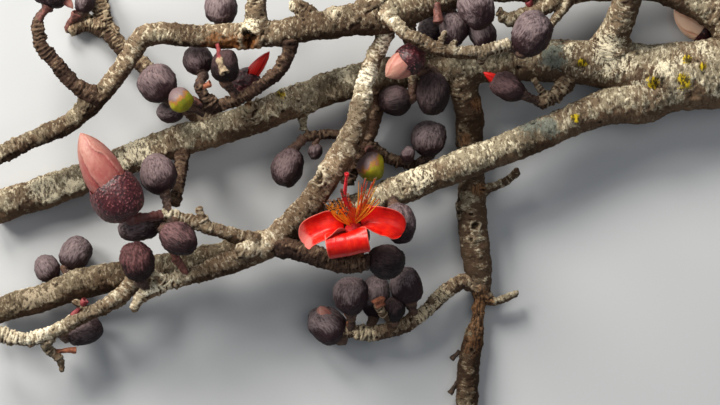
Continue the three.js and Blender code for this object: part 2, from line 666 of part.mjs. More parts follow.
for (const bud of BUDS) {
  addPart(bud.name, clearedOf(budSolid(bud), [bud.on]), bud.green ? GREEN_BUD_SKIN : BUD_SKIN);
}

for (const bud of OPENING_BUDS) {
  addPart(bud.name, clearedOf(budSolid(bud).add(petalConeSolid(bud)), [bud.on]), PALE_PETAL);
}

addPart('flower_calyx', clearedOf(calyxSolid(), ['flower_twig']), TWIG_BARK);
FLOWER.petals.forEach((petal, i) => addPart(`flower_petal_${i + 1}`, petalSolid(petal), RED_PETAL));
addPart('flower_stamens', stamenSolid(), STAMEN);

// Origin at the middle of the bough's outline, at the ground
const box = new THREE.Box3().setFromObject(bough);
const middle = box.getCenter(new THREE.Vector3());
bough.position.set(-middle.x, -middle.y, -box.min.z);

export default bough;
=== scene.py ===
# A cut flowering bough of a silk cotton tree, lying on a pale floor.
# Shapes are worked out in millimetres and turned into metres when their meshes are made.
import itertools
import math
from types import SimpleNamespace

import bpy
import numpy as np
from mathutils import Matrix, Vector, kdtree


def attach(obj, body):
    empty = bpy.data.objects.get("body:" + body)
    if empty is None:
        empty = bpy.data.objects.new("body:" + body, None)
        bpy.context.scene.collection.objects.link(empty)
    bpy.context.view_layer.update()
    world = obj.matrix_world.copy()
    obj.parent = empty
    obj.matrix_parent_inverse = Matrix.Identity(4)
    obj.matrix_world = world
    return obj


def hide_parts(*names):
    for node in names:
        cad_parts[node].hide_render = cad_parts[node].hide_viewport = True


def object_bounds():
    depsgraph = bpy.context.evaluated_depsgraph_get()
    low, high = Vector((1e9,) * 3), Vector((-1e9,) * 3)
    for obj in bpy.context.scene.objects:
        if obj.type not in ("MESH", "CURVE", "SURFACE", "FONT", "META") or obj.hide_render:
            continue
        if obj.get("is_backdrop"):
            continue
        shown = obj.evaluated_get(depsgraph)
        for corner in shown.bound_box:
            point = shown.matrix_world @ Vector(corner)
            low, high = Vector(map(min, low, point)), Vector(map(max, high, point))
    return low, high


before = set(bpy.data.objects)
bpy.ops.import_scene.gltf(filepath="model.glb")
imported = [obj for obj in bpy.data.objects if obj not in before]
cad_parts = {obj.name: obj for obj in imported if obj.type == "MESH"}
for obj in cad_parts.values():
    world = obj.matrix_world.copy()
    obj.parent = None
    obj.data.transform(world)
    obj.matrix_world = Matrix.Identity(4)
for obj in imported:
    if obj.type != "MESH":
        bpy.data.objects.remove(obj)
cad_low, cad_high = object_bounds()

MM = 1000
# Where the sawn end, the lower pruning cut and the lowest point are in the part's own measures,
# and how far those are shifted to lie in the frame, in millimetres
SAWN_ACROSS = 785
PRUNED_DOWN = 415
LOWEST_POINT = 0.51
SAWN_X = cad_high.x * MM
PRUNED_Y = cad_low.y * MM
SHIFT = np.array([SAWN_X - SAWN_ACROSS, PRUNED_Y + PRUNED_DOWN, -LOWEST_POINT])
# No bark reaches below this height
GROUND = 0.02

# Towards the two main lights, in the upper left of the view, and the weak third
SUN = (-0.35, 0.75, 0.56)
SIDE_SUN = (-0.72, 0.42, 0.55)
SKY = (0.3, 0.1, 1.0)
# Towards the side of the limbs that the crust grows on, close to the lights: the pale crust there is
# partly painted light, and the darker bare bark on the far side partly painted shade
LIT_CRUST_SIDE = np.array([-0.2, 0.72, 0.66])
# Towards the lights: the buds get a painted grey sheen on this side and painted shade on the other
SHEEN_SIDE = np.array([-0.4, 0.7, 0.59])
# Towards the side of the green buds that is not green
GREEN_SIDE = np.array([-0.6, 0.75, 0.25])

# Sizes, in millimetres
TUBE_PITCH = 2.0
BUD_PITCH = 1.25
OPENING_PITCH = 1.05
PETAL_PITCH = 0.9
RING_PITCH = 3.9
SHOOT_START = 211
STALK_THICKNESS = 9
OPENING_WALL = 1.6
CUT_MARGIN = (1.2, 0.6)
PETAL_LENGTH = 58
PETAL_ROOT_RADIUS = 9
PETAL_ROOT_WIDTH = 15
PETAL_RISE = 1.3
CALYX_HEIGHT = 28
CALYX_WIDTH = 30
STYLE_REACH = 58

# Counts
COURSE_STEPS = 40
TUBE_SIDES = 28
STALK_SIDES = 20
OUTER_FILAMENTS = 72
SIDE_FILAMENTS = 26
INNER_FILAMENTS = 14
PETAL_STEPS = 64
PETAL_STRIPS = 40

# Shares of a length or a thickness
TIP_ROUNDNESS = 0.9
FLARE_REACH = 0.55
FLARE = 0.3
SHOOT_FLARE = 0.4
LEAN_AHEAD = 1 / 24
GOLDEN_TURN = 0.382
# A power under one makes a bud fuller towards its ends than a ball
EGG_FULLNESS = 0.85

# Turn the noise off the axes, and each finer octave off the one before it
NOISE_TURN = (0.6, 0.4, 0.9)
OCTAVE_TURN = np.array(Matrix.Rotation(0.9, 3, Vector((0.3, 0.8, 0.5))))

# Stations of a limb are (across, down, height, thickness): across to the right and down from
# the topmost left corner of the bough as it lies, height above the ground, all in millimetres.
LIMBS = {
    "main_bough": {"on": None, "bark": "bough bark", "stations": [
        (796, 62, 36, 72), (740, 69, 37, 68), (690, 76, 39, 69), (655, 74, 41, 62), (622, 67, 42, 51),
        (555, 61, 42, 43), (500, 63, 40, 37), (430, 69, 38, 34), (366, 78, 36, 34), (295, 101, 34, 33),
        (246, 121, 31, 31), (178, 142, 28, 31), (133, 158, 25, 30), (67, 184, 20, 31), (-10, 209, 17, 33),
    ], "shoots": [
        [(251, 119, 33, 12), (250, 110, 44, 12), (251, 104, 51, 10)],
        [(303, 104, 30, 9), (303, 118, 26, 9), (303, 131, 23, 8)],
    ]},
    "lower_bough": {"on": "main_bough", "bark": "bough bark", "stations": [
        (680, 82, 41, 42), (645, 97, 44, 39), (600, 109, 48, 35), (556, 128, 50, 31), (514, 145, 53, 30),
        (452, 169, 55, 30), (406, 188, 54, 30), (340, 216, 50, 29), (280, 239, 45, 28), (230, 252, 43, 26),
        (190, 262, 41, 26), (150, 270, 38, 28), (80, 284, 32, 30), (34, 301, 27, 27), (-10, 313, 23, 27),
    ]},
    "hanging_bough": {"on": "main_bough", "bark": "bough bark", "tone": -0.1, "crust": -0.4, "stations": [
        (465, 67, 38, 25), (463, 84, 34, 26), (470, 120, 25, 29), (471, 150, 19, 26), (472, 180, 17, 26),
        (472, 209, 17, 30), (475, 240, 17, 31), (479, 270, 17, 28), (481, 290, 16, 21), (480, 303, 15, 12),
        (478, 322, 14, 13), (474, 340, 13, 21), (469, 366, 12, 22), (467, 425, 10.8, 22),
    ], "shoots": [
        [(481, 290, 16, 9), (492, 302, 16, 9), (506, 298, 17, 8), (520, 293, 17, 7)],
        [(472, 193, 17, 10), (488, 189, 18, 9), (505, 182, 19, 8), (515, 174, 20, 7), (519, 167, 21, 6)],
        [(505, 182, 19, 8), (512, 177, 19, 7), (521, 173, 19, 6)],
    ]},
    "top_limb": {"on": "main_bough", "bark": "bough bark", "tone": -0.35, "stations": [
        (760, 58, 38, 50), (730, 16, 42, 46), (700, -1, 44, 42), (665, -17, 44, 40), (620, -19, 44, 40),
        (570, -16, 48, 38), (530, -16, 56, 36), (480, -14, 66, 34), (430, -2, 74, 35), (390, 16, 82, 38),
        (355, 21, 86, 31), (309, 28, 88, 27), (268, 35, 88, 25), (200, 37, 86, 23), (160, 34, 84, 22),
    ], "shoots": [
        [(372, 12, 82, 30), (362, -2, 80, 26)],
        [(258, 34, 88, 18), (257, 14, 92, 19), (257, -6, 96, 18)],
        [(318, 27, 86, 15), (300, 8, 84, 15), (290, 6, 84, 14)],
        [(244, 36, 88, 22), (246, 46, 88, 14)],
        [(558, -15, 50, 16), (549, 3, 58, 15), (530, 12, 60, 14), (511, 20, 60, 14), (500, 14, 61, 10)],
        [(571, -15, 48, 10), (566, 4, 58, 10), (549, 27, 62, 8)],
    ]},
    "left_limb": {"on": "top_limb", "bark": "bough bark", "tone": -0.12, "flare": 0, "stations": [
        (176, 36, 85, 19), (160, 34, 84, 23), (144, 37, 83, 22), (131, 55, 82, 20), (115, 79, 80, 19),
        (98, 98, 77, 20), (69, 124, 73, 19), (46, 134, 71, 18), (17, 147, 68, 18), (-10, 161, 66, 18),
    ], "shoots": [
        [(90, 106, 76, 14), (80, 104, 84, 11)],
    ]},
    "stub_limb": {"on": "main_bough", "bark": "bough bark", "flare": 0.5, "stations": [
        (612, 65, 42, 30), (613, 40, 52, 30), (621, 20, 70, 29), (630, -12, 86, 29),
    ]},
    "cross_limb": {"on": "top_limb", "bark": "pale bark", "crust": -0.12, "stations": [
        (386, 20, 82, 16), (383, 40, 76, 16), (372, 63, 73, 17), (364, 90, 73, 19), (355, 130, 73, 24),
        (326, 181, 74, 25), (304, 211, 75, 26), (280, 236, 76, 27), (262, 248, 77, 28), (238, 259, 78, 24),
        (200, 274, 80, 17), (169, 282, 82, 15), (146, 293, 82, 13),
    ], "shoots": [
        [(256, 250, 80, 18), (244, 250, 90, 15), (238, 248, 94, 13)],
        [(166, 283, 82, 9), (158, 276, 90, 7), (152, 273, 94, 6)],
        [(150, 290, 82, 11), (140, 298, 84, 10), (134, 312, 84, 7)],
    ]},
    "flower_twig": {"on": "cross_limb", "bark": "dark bark", "stations": [
        (272, 243, 77, 19), (290, 248, 80, 19), (320, 257, 86, 19), (345, 264, 92, 18), (366, 264, 97, 16),
    ]},
    "spur_twig": {"on": "cross_limb", "bark": "pale bark", "stations": [
        (264, 248, 78, 15), (252, 241, 84, 14), (235, 236, 88, 14), (212, 229, 90, 13), (189, 221, 91, 13),
        (160, 214, 92, 12),
    ], "shoots": [
        [(204, 226, 90, 10), (201, 214, 94, 8), (200, 206, 96, 7)],
    ]},
    "low_twig": {"on": "hanging_bough", "bark": "twig bark", "stations": [
        (481, 286, 17, 14), (464, 282, 18, 14), (449, 290, 20, 14), (434, 304, 22, 14), (418, 318, 24, 15),
        (395, 329, 25, 15), (372, 334, 26, 14), (349, 332, 27, 13), (337, 334, 28, 12),
    ], "shoots": [
        [(396, 329, 26, 9), (386, 317, 42, 8), (376, 304, 56, 8)],
    ]},
    "short_twig": {"on": "main_bough", "bark": "twig bark", "stations": [
        (568, 64, 42, 17), (565, 84, 50, 16), (552, 97, 56, 14), (537, 105, 60, 13),
    ], "shoots": [
        [(548, 99, 57, 8), (541, 90, 62, 6), (533, 79, 66, 5)],
    ]},
    "long_spur": {"on": "top_limb", "bark": "pale bark", "crust": -0.15, "stations": [
        (384, 14, 84, 15), (390, 20, 104, 14), (405, 34, 112, 13), (429, 46, 112, 13), (446, 52, 110, 13),
        (469, 54, 107, 13), (492, 50, 104, 12), (511, 45, 102, 12),
    ], "shoots": [
        [(480, 54, 106, 10), (481, 65, 100, 8)],
        [(440, 50, 112, 7), (441, 42, 115, 6), (446, 33, 118, 4)],
        [(452, 51, 110, 7), (454, 41, 114, 5)],
    ]},
    "curved_twig": {"on": "top_limb", "bark": "dark bark", "stations": [
        (287, 32, 88, 15), (290, 50, 90, 14), (283, 66, 88, 13), (270, 80, 86, 13), (252, 92, 84, 13),
        (230, 103, 80, 12), (206, 110, 76, 12),
    ], "shoots": [
        [(214, 108, 78, 13), (205, 96, 84, 12), (199, 85, 88, 10)],
    ]},
    "corner_twig": {"on": "left_limb", "bark": "dark bark", "stations": [
        (99, 99, 77, 17), (86, 92, 84, 17), (70, 80, 88, 16), (55, 62, 90, 15), (42, 45, 92, 14),
        (38, 18, 92, 12),
    ]},
    "rear_twig": {"on": "main_bough", "bark": "twig bark", "tone": -0.25, "stations": [
        (222, 133, 30, 18), (202, 118, 26, 18), (178, 100, 22, 17), (158, 82, 19, 17), (140, 63, 16, 17),
        (120, 46, 13, 17), (106, 28, 10.5, 16), (96, -10, 8.5, 16),
    ], "shoots": [
        [(103, 25, 10, 16), (86, 23, 11, 15), (72, 27, 12, 13), (65, 29, 12, 11)],
        [(108, 32, 11, 10), (117, 27, 12, 8)],
    ]},
    "inner_twig": {"on": "main_bough", "bark": "dark bark", "stations": [
        (181, 141, 28, 14), (181, 162, 38, 14), (178, 184, 50, 13), (174, 206, 60, 12),
    ]},
    "drooping_twig": {"on": "main_bough", "bark": "dark bark", "stations": [
        (372, 77, 36, 21), (373, 112, 31, 20), (362, 146, 27, 20), (345, 184, 24, 15),
    ], "shoots": [
        [(366, 138, 28, 12), (334, 134, 32, 11), (303, 137, 34, 9)],
        [(364, 143, 28, 12), (389, 158, 28, 11), (419, 166, 26, 10)],
    ]},
    "lower_left_twig": {"on": "lower_bough", "bark": "pale bark", "stations": [
        (138, 273, 37, 16), (126, 291, 50, 15), (110, 304, 56, 15), (80, 318, 57, 14), (55, 331, 54, 14),
        (25, 340, 50, 14), (0, 334, 46, 14), (-10, 330, 45, 14),
    ], "shoots": [
        [(52, 332, 54, 9), (46, 347, 48, 9), (58, 358, 42, 8), (62, 372, 38, 6)],
        [(88, 314, 57, 9), (79, 304, 62, 7), (72, 302, 64, 6)],
    ]},
    "middle_shoot": {"on": "top_limb", "bark": "twig bark", "stations": [
        (404, 8, 78, 14), (408, 30, 74, 13), (413, 58, 68, 12), (414, 84, 64, 11),
    ]},
}

# Closed buds: middle, length, width, aim from stalk to point, and root of the stalk
BUDS = [
    ("bud_left_outer", (158, 84, 80), 41, 37, (-0.8, -1, 0.1), (205, 112, 73)),
    ("bud_green_front", (181, 100, 100), 31, 24, (0.1, 0.3, 0.9), (214, 108, 78)),
    ("bud_left_upper", (198, 60, 62), 33, 28, (-0.3, -0.9, -0.3), (199, 87, 87)),
    ("bud_left_middle", (226, 66, 98), 35, 30, (0, -1, 0.3), (239, 99, 82)),
    ("bud_top_left", (222, 7, 70), 36, 33, (0.1, -1, 0.1), (220, 38, 80)),
    ("bud_corner", (54, -11, 94), 38, 38, (0.3, -1, 0), (38, 22, 92)),
    ("bud_spur_upper", (159, 175, 84), 40, 33, (-0.35, -1, -0.1), (170, 217, 92)),
    ("bud_spur_left", (139, 228, 80), 42, 29, (-1, 0.15, -0.2), (176, 218, 92)),
    ("bud_spur_lower", (180, 239, 118), 38, 33, (0.8, 0.5, 0.3), (178, 219, 92)),
    ("bud_ribbed", (138, 262, 98), 42, 36, (-0.2, -1, 0.3), (150, 291, 82)),
    ("bud_far_left", (75, 254, 21), 37, 31, (0.6, -1, 0), (76, 285, 32)),
    ("bud_far_left_small", (46, 269, 16), 29, 27, (-0.6, -1, 0), (54, 294, 29)),
    ("bud_low_left", (84, 331, 28), 38, 29, (1, -0.35, 0), (55, 331, 54)),
    ("bud_middle_left", (288, 167, 38), 37, 33, (-0.3, 1, 0.2), (304, 137, 34)),
    ("bud_green_middle", (372, 167, 56), 29, 27, (0, 1, 0.5), (368, 146, 28)),
    ("bud_round", (430, 139, 30), 38, 35, (0.1, -1, 0.3), (416, 165, 26)),
    ("bud_shoot_left", (396, 100, 56), 34, 29, (-1, 0.2, -0.2), (414, 80, 65)),
    ("bud_shoot_right", (432, 93, 71), 45, 32, (0, 1, 0), (414, 74, 66)),
    ("bud_shoot_upper", (438, 28, 38), 37, 34, (0.9, -0.4, 0), (410, 40, 72)),
    ("bud_top_inner", (453, 29, 70), 38, 30, (0.1, 1, 0), (452, -8, 70)),
    ("bud_top_middle", (476, 10, 102), 44, 38, (0.3, 0.7, 0.5), (468, -13, 68)),
    ("bud_under_spur", (482, 34, 66), 37, 28, (0.5, 1, 0), (468, -10, 69)),
    ("bud_spur_end", (531, 33, 104), 46, 40, (0.5, -1, 0.2), (507, 46, 102)),
    ("bud_short_twig", (507, 87, 72), 37, 27, (-1, -0.5, 0), (540, 103, 60)),
    ("bud_behind_flower", (399, 222, 82), 42, 34, (0.3, 1, 0.5), (394, 193, 54)),
    ("bud_flower_end", (386, 261, 84), 37, 35, (1, 0.1, -0.2), (364, 267, 95)),
    ("bud_low_upper", (351, 295, 48), 38, 36, (0, -1, 0.3), (350, 332, 27)),
    ("bud_low_left_end", (327, 326, 25), 42, 36, (-1, -0.9, 0.1), (345, 332, 27)),
    ("bud_low_right", (407, 285, 42), 38, 33, (-0.2, -1, 0.3), (416, 320, 24)),
    ("bud_low_inner", (376, 296, 19), 42, 30, (0.1, -1, 0), (368, 334, 26)),
]
# Small buds, the same, with the twig that each is fused to
SMALL_BUDS = [
    ("low_twig", (394, 310, 38), 26, 21, (0, -1, 0.2), (392, 329, 26)),
    ("curved_twig", (170, 112, 60), 26, 22, (-1, 0.1, -0.2), (216, 107, 78)),
    ("rear_twig", (84, 0, 22), 26, 20, (0.2, -1, 0.1), (74, 24, 13)),
    ("drooping_twig", (315, 151, 34), 17, 15, (-0.1, 1, 0), (320, 134, 33)),
    ("drooping_twig", (408, 155, 40), 17, 15, (0.2, -1, 0.5), (404, 162, 27)),
]
# Opening buds, the same, with the reach and the width of the folded petals
OPENING_BUDS = [
    ("opening_bud_left", (118, 196, 118), 54, 53, (-0.52, -0.86, 0.1), (164, 215, 92), 46, 42),
    ("opening_bud_middle", (409, 60, 97), 31, 32, (-0.8, 0.55, 0.1), (413, 58, 68), 14, 29),
    ("opening_bud_right", (703, 31, 17), 24, 23, (-0.8, -0.6, 0.05), (738, 68, 37), 24, 27),
    ("opening_bud_top", (246, 82, 56), 30, 28, (0.6, -0.8, 0.3), (254, 91, 83), 26, 16),
]
# Petals that just peep out of a bud: foot, aim, reach and width
PETAL_TIPS = [
    ("bud_low_left_end", (327, 326, 27), (-0.4, -1, 0.4), 23, 21),
    ("bud_top_left", (222, 7, 74), (0.25, -1, 0.45), 24, 15),
    ("bud_short_twig", (507, 87, 72), (-1, -0.6, 0.15), 29, 13),
    ("bud_corner", (60, -8, 97), (0.8, 1, 0.3), 24, 12),
]
PETAL_TIP_SEED = 5
# How deep the wrinkles of a bud go, where that isn't 1
FOLD_DEPTHS = {"bud_green_front": 0.3, "bud_green_middle": 0.3, "bud_ribbed": 1.5}
# How red and how dark a bud is, where its name alone doesn't decide that. The darkness is partly
# the bud's own tone and partly painted shade on buds that lie in shadow
BUD_TINTS = {
    "bud_ribbed": (1, 0), "bud_spur_lower": (0.7, 0.1), "bud_far_left": (0.1, 0.3),
    "bud_far_left_small": (0.1, 0.3), "bud_round": (0.1, 0), "bud_shoot_left": (0.1, 0.9),
    "bud_shoot_right": (0.1, 0.8), "bud_flower_end": (0.2, 0.9), "bud_low_right": (0.1, 0),
    "low_twig_small_bud_1": (0.2, 0.9), "bud_low_inner": (0.1, 0), "bud_low_left_end": (0.1, 0),
    "bud_short_twig": (0.6, 0.2), "bud_low_left": (0.2, 0.5), "bud_middle_left": (0.3, 0.4),
    "bud_left_middle": (0.4, 1), "bud_spur_end": (0.2, 0.0), "bud_top_middle": (0.2, 0.0),
}
# Stalks that buds and flowers have dropped from: foot, tip, thickness and kind
SPENT_STALKS = [
    ((218, 44, 93), (220, 61, 112), 6, "red"), ((220, 60, 111), (225, 74, 114), 10, "tan"),
    ((204, 88, 88), (211, 84, 91), 7, "orange"), ((380, 306, 54), (378, 299, 56), 14, "orange"),
    ((350, 325, 34), (348, 313, 42), 8, "orange"), ((73, 316, 58), (86, 300, 64), 8, "red"),
    ((54, 352, 44), (76, 350, 45), 7, "orange"), ((186, 272, 86), (176, 258, 93), 10, "pink"),
    ((177, 260, 91), (170, 246, 95), 8, "pink"), ((535, 12, 62), (528, 1, 65), 9, "red"),
    ((507, 17, 61), (498, 11, 64), 10, "tan"), ((436, 4, 86), (438, 23, 93), 10, "pink"),
    ((40, 20, 94), (50, 6, 98), 10, "pink"), ((66, 28, 12), (76, 12, 24), 10, "pink"),
    ((458, 384, 11), (450, 395, 12), 7, "brown"), ((460, 352, 13), (452, 360, 14), 6, "brown"),
]

# Open flower: turn round its axis, length, width, lean from root to tip in degrees, how far
# its blade and its root are bent across, how far it turns its face and how far it stands aside
FLOWER_FOOT = (358, 249.4, 97)
FLOWER_FACING = (-0.18, -0.78, 0.6)
FLOWER_PETALS = [
    (354, 0.78, 35, 64, 142, 18, 9, 35, 0),
    (62, 0.6, 14, 54, 137, 30, 9, 0, 0),
    (116, 0.6, 14, 54, 137, 30, 9, 0, 0),
    (190, 0.78, 40, 60, 130, 15, 9, -30, 0),
    (274, 0.8, 43, 22, 264, 200, 30, 0, -7),
]
# The number of the petal that is red outside too, and of the one with a pale tip
FRONT_PETAL = 5
LEFT_PETAL = 4

# Knots and holes of a limb: across, down, radius, rim height, hollow depth
KNOTS = {
    "cross_limb": [(319, 177, 9, 2.6, 5.0)],
    "top_limb": [(250, 38, 11, 4.0, 6.5), (385, 10, 18, 0.5, -4), (620, -16, 14, 0.5, -3)],
    "main_bough": [(155, 140, 6, 0.8, 1.4), (655, 103, 9, 1.5, -1.5), (690, 112, 12, 1.2, -2)],
    "hanging_bough": [(471, 214, 4, 1.0, 1.8), (475, 226, 5, 1.2, 2.4), (472, 240, 4, 1.0, 1.8)],
    "left_limb": [(103, 92, 7, 0.8, -1.5)],
    "lower_bough": [(117, 281, 6, 0.8, -1.2)],
}
# Growths and stains with a place, by limb and kind: across, down, radius. The dark kind is mostly
# painted shade where a limb lies in shadow, in a few places a real darker patch
GROWTHS = {
    "main_bough": {
        "yellow": [(582, 63, 4), (687, 59, 4), (683, 82, 6), (652, 84, 5), (702, 67, 3), (281, 94, 4)],
        "rust": [(652, 95, 4), (247, 103, 4)],
        # The white patch at the left end, at 40 across, is partly painted light on a shadowed stretch
        "white": [
            (682, 60, 5), (703, 49, 6), (664, 69, 7), (637, 88, 6), (613, 57, 15), (570, 50, 5),
            (285, 88, 5), (137, 152, 12), (120, 163, 8), (40, 188, 9),
        ],
        "grey": [(553, 56, 11)],
        "dark": [(330, 92, 14), (661, 87, 8)],
    },
    "lower_bough": {
        "yellow": [(575, 118, 4)],
        "white": [(420, 178, 10)],
        "grey": [(530, 125, 10), (548, 128, 8)],
        "dark": [(222, 252, 28), (35, 300, 46), (100, 282, 34), (535, 146, 16)],
    },
    "top_limb": {
        "rust": [(214, 43, 11), (232, 45, 9), (251, 41, 10)],
        "white": [(250, 26, 7), (335, 13, 8), (290, 8, 6)],
        "dark": [(315, 32, 26), (350, 28, 22), (180, 36, 24)],
    },
    "hanging_bough": {
        "bare": [
            (480, 305, 14), (479, 325, 14), (475, 342, 12), (478, 105, 6), (466, 140, 6), (478, 190, 6),
        ],
        "dark": [(472, 130, 22), (472, 370, 44)],
    },
    # The white patches on the low twig are painted light, making up for the shadows cast on it
    "low_twig": {"white": [(424, 315, 10), (442, 297, 9), (366, 334, 9)]},
    "cross_limb": {
        "white": [(386, 45, 9), (372, 75, 9)],
        "dark": [(310, 200, 24), (292, 222, 16), (215, 268, 28), (348, 125, 26)],
    },
    "stub_limb": {"white": [(607, 47, 13)]},
    "left_limb": {"dark": [(50, 135, 24), (20, 150, 18), (90, 105, 18)]},
    "lower_left_twig": {"dark": [(88, 314, 22), (54, 358, 24), (76, 303, 9)]},
    "long_spur": {"dark": [(430, 46, 26), (478, 54, 18)]},
    "spur_twig": {"dark": [(240, 235, 34), (195, 216, 16)]},
}
# Buds whose folded petals are scarlet, and how peach-coloured those of others are; the pale peach of
# the right bud is partly painted light, for a bud that lies in the shadow of the limbs above
SCARLET_PETALS = ("opening_bud_top", "bud_short_twig")
PEACH_PETALS = {"opening_bud_right": 1, "opening_bud_middle": 0.15}
# How far each kind of growth stands out of the bark
GROWTH_LIFTS = {"white": 0.5, "yellow": 0.9, "rust": -0.4, "grey": 0.3, "bare": -0.4, "dark": 0}
# Ends that are cut across and show their wood
CUT_ENDS = ("main_bough", "lower_bough", "left_limb", "lower_left_twig", "rear_twig", "stub_limb")
# Barks: slot, how fine its mesh is in millimetres, how far the crust spreads, how strong the rings
# of leaf scars are, and the colours of bare bark, its warmer patches, gaps, crust and flakes. The pale
# crust lies on the side towards the lights and the bare bark away from them, so they are partly
# painted light and painted shade
BARKS = {
    "bough bark": {"slot": "bark", "voxel": 1.45, "crust": 0.0, "rings": 0.8, "colours": (
        (84, 66, 52), (114, 92, 72), (68, 54, 42), (151, 140, 117), (227, 216, 187),
    )},
    "pale bark": {"slot": "pale_bark", "voxel": 1.2, "crust": 0.12, "rings": 1.0, "colours": (
        (98, 78, 60), (134, 110, 86), (78, 62, 48), (176, 163, 138), (238, 229, 204),
    )},
    "twig bark": {"slot": "twig_bark", "voxel": 1.2, "crust": -0.18, "rings": 1.0, "colours": (
        (80, 62, 50), (112, 90, 70), (56, 42, 34), (146, 127, 104), (208, 191, 160),
    )},
    "dark bark": {"slot": "twig_bark", "voxel": 1.2, "crust": -0.35, "rings": 1.0, "colours": (
        (54, 40, 34), (80, 60, 48), (36, 26, 22), (92, 74, 60), (136, 114, 94),
    )},
}
# Plain materials: two colours and how rough each is
STAMEN_PAINTS = {
    "style": ((196, 16, 22), (226, 48, 48), 0.4),
    "red filament": ((236, 60, 30), (246, 110, 50), 0.45),
    "gold filament": ((250, 140, 20), (255, 190, 60), 0.45),
    "anther": ((52, 26, 20), (98, 58, 36), 0.8),
    "pale anther": ((96, 62, 46), (146, 106, 78), 0.8),
    "pink style": ((196, 16, 30), (222, 50, 58), 0.4),
}
STALK_PAINTS = {
    "red stalk": ((98, 28, 34), (146, 58, 60), 0.55),
    "pink stalk": ((78, 44, 40), (130, 82, 72), 0.65),
    "orange stalk": ((116, 64, 44), (184, 114, 80), 0.65),
    "tan stalk": ((92, 72, 56), (184, 164, 134), 0.85),
    "brown stalk": ((44, 34, 28), (78, 60, 46), 0.85),
}
# Outlines of turned shapes, as shares of their width and height
STALK_OUTLINE = (
    (0.3, -0.1), (0.42, 0.0), (0.34, 0.3), (0.36, 0.55), (0.46, 0.8), (0.5, 0.93), (0.46, 1.0),
    (0.38, 0.99), (0.3, 0.92), (0.12, 0.88),
)
CALYX_OUTLINE = (
    (0.15, -0.32), (0.19, -0.2), (0.21, 0.0), (0.4, 0.2), (0.5, 0.55), (0.485, 0.88), (0.49, 1.0),
    (0.46, 1.02), (0.43, 0.92), (0.25, 0.86),
)


# Places and repeatable noise
def spot(across, down, height):
    """A place in the frame, in millimetres."""
    return np.array([across + SHIFT[0], SHIFT[1] - down, height + SHIFT[2]])


def unit(lines):
    """The same directions, each of length one."""
    return lines / np.maximum(np.linalg.norm(lines, axis=-1, keepdims=True), 0.01)


def heading(across, down, height):
    """A direction told as across, down and height, of length one."""
    return unit(np.array([across, -down, height], float))


def soft_step(low, high, values):
    t = np.clip((values - low) / (high - low), 0, 1)
    return t * t * (3 - 2 * t)


def own_seed(name):
    return sum(ord(letter) * (i + 3) for i, letter in enumerate(name))


def chance(cell, seed):
    """A repeatable number from 0 to 1 for each row of three whole numbers."""
    n = cell[:, 0] * 374761393 + cell[:, 1] * 668265263 + cell[:, 2] * 1440662683
    n = (n + seed * 1013904223) & 0xFFFFFFFF
    n = ((n ^ (n >> 15)) * 2246822519) & 0xFFFFFFFF
    n = ((n ^ (n >> 13)) * 3266489917) & 0xFFFFFFFF
    return (n ^ (n >> 16)) / 0xFFFFFFFF


def waves(points, seed):
    """Smooth noise from -1 to 1 with features about one unit across."""
    cell = np.floor(points).astype(np.int64)
    part = points - cell
    part = part * part * part * (part * (part * 6 - 15) + 10)
    total = np.zeros(len(points))
    for corner in itertools.product((0, 1), repeat=3):
        weight = np.where(corner, part, 1 - part).prod(axis=1)
        total += weight * chance(cell + corner, seed)
    return total * 2 - 1


def creases(points, seed):
    """Noise from 0 to 1 with sharp ridges."""
    return 1 - np.abs(waves(points, seed))


def rough(points, size, octaves, seed):
    """Noise with finer and finer detail. The largest features are about size across."""
    total = 0
    weight = 1
    spread = 0
    at = points / size
    for octave in range(octaves):
        total = total + weight * waves(at, seed + octave)
        spread += weight
        weight *= 0.5
        at = at @ OCTAVE_TURN * 2.03
    return total / spread * 1.6


def grains(points, seed):
    """Distance to the nearest grain of a random packing, and that grain's own number."""
    cell = np.floor(points).astype(np.int64)
    nearest = np.full(len(points), 9.0)
    own = np.zeros(len(points))
    for step in itertools.product((-1, 0, 1), repeat=3):
        there = cell + step
        jitter = np.stack([chance(there, seed + k) for k in range(3)], axis=1)
        away = np.linalg.norm(there + jitter - points, axis=1)
        own = np.where(away < nearest, jitter[:, 0], own)
        nearest = np.minimum(away, nearest)
    return nearest, own


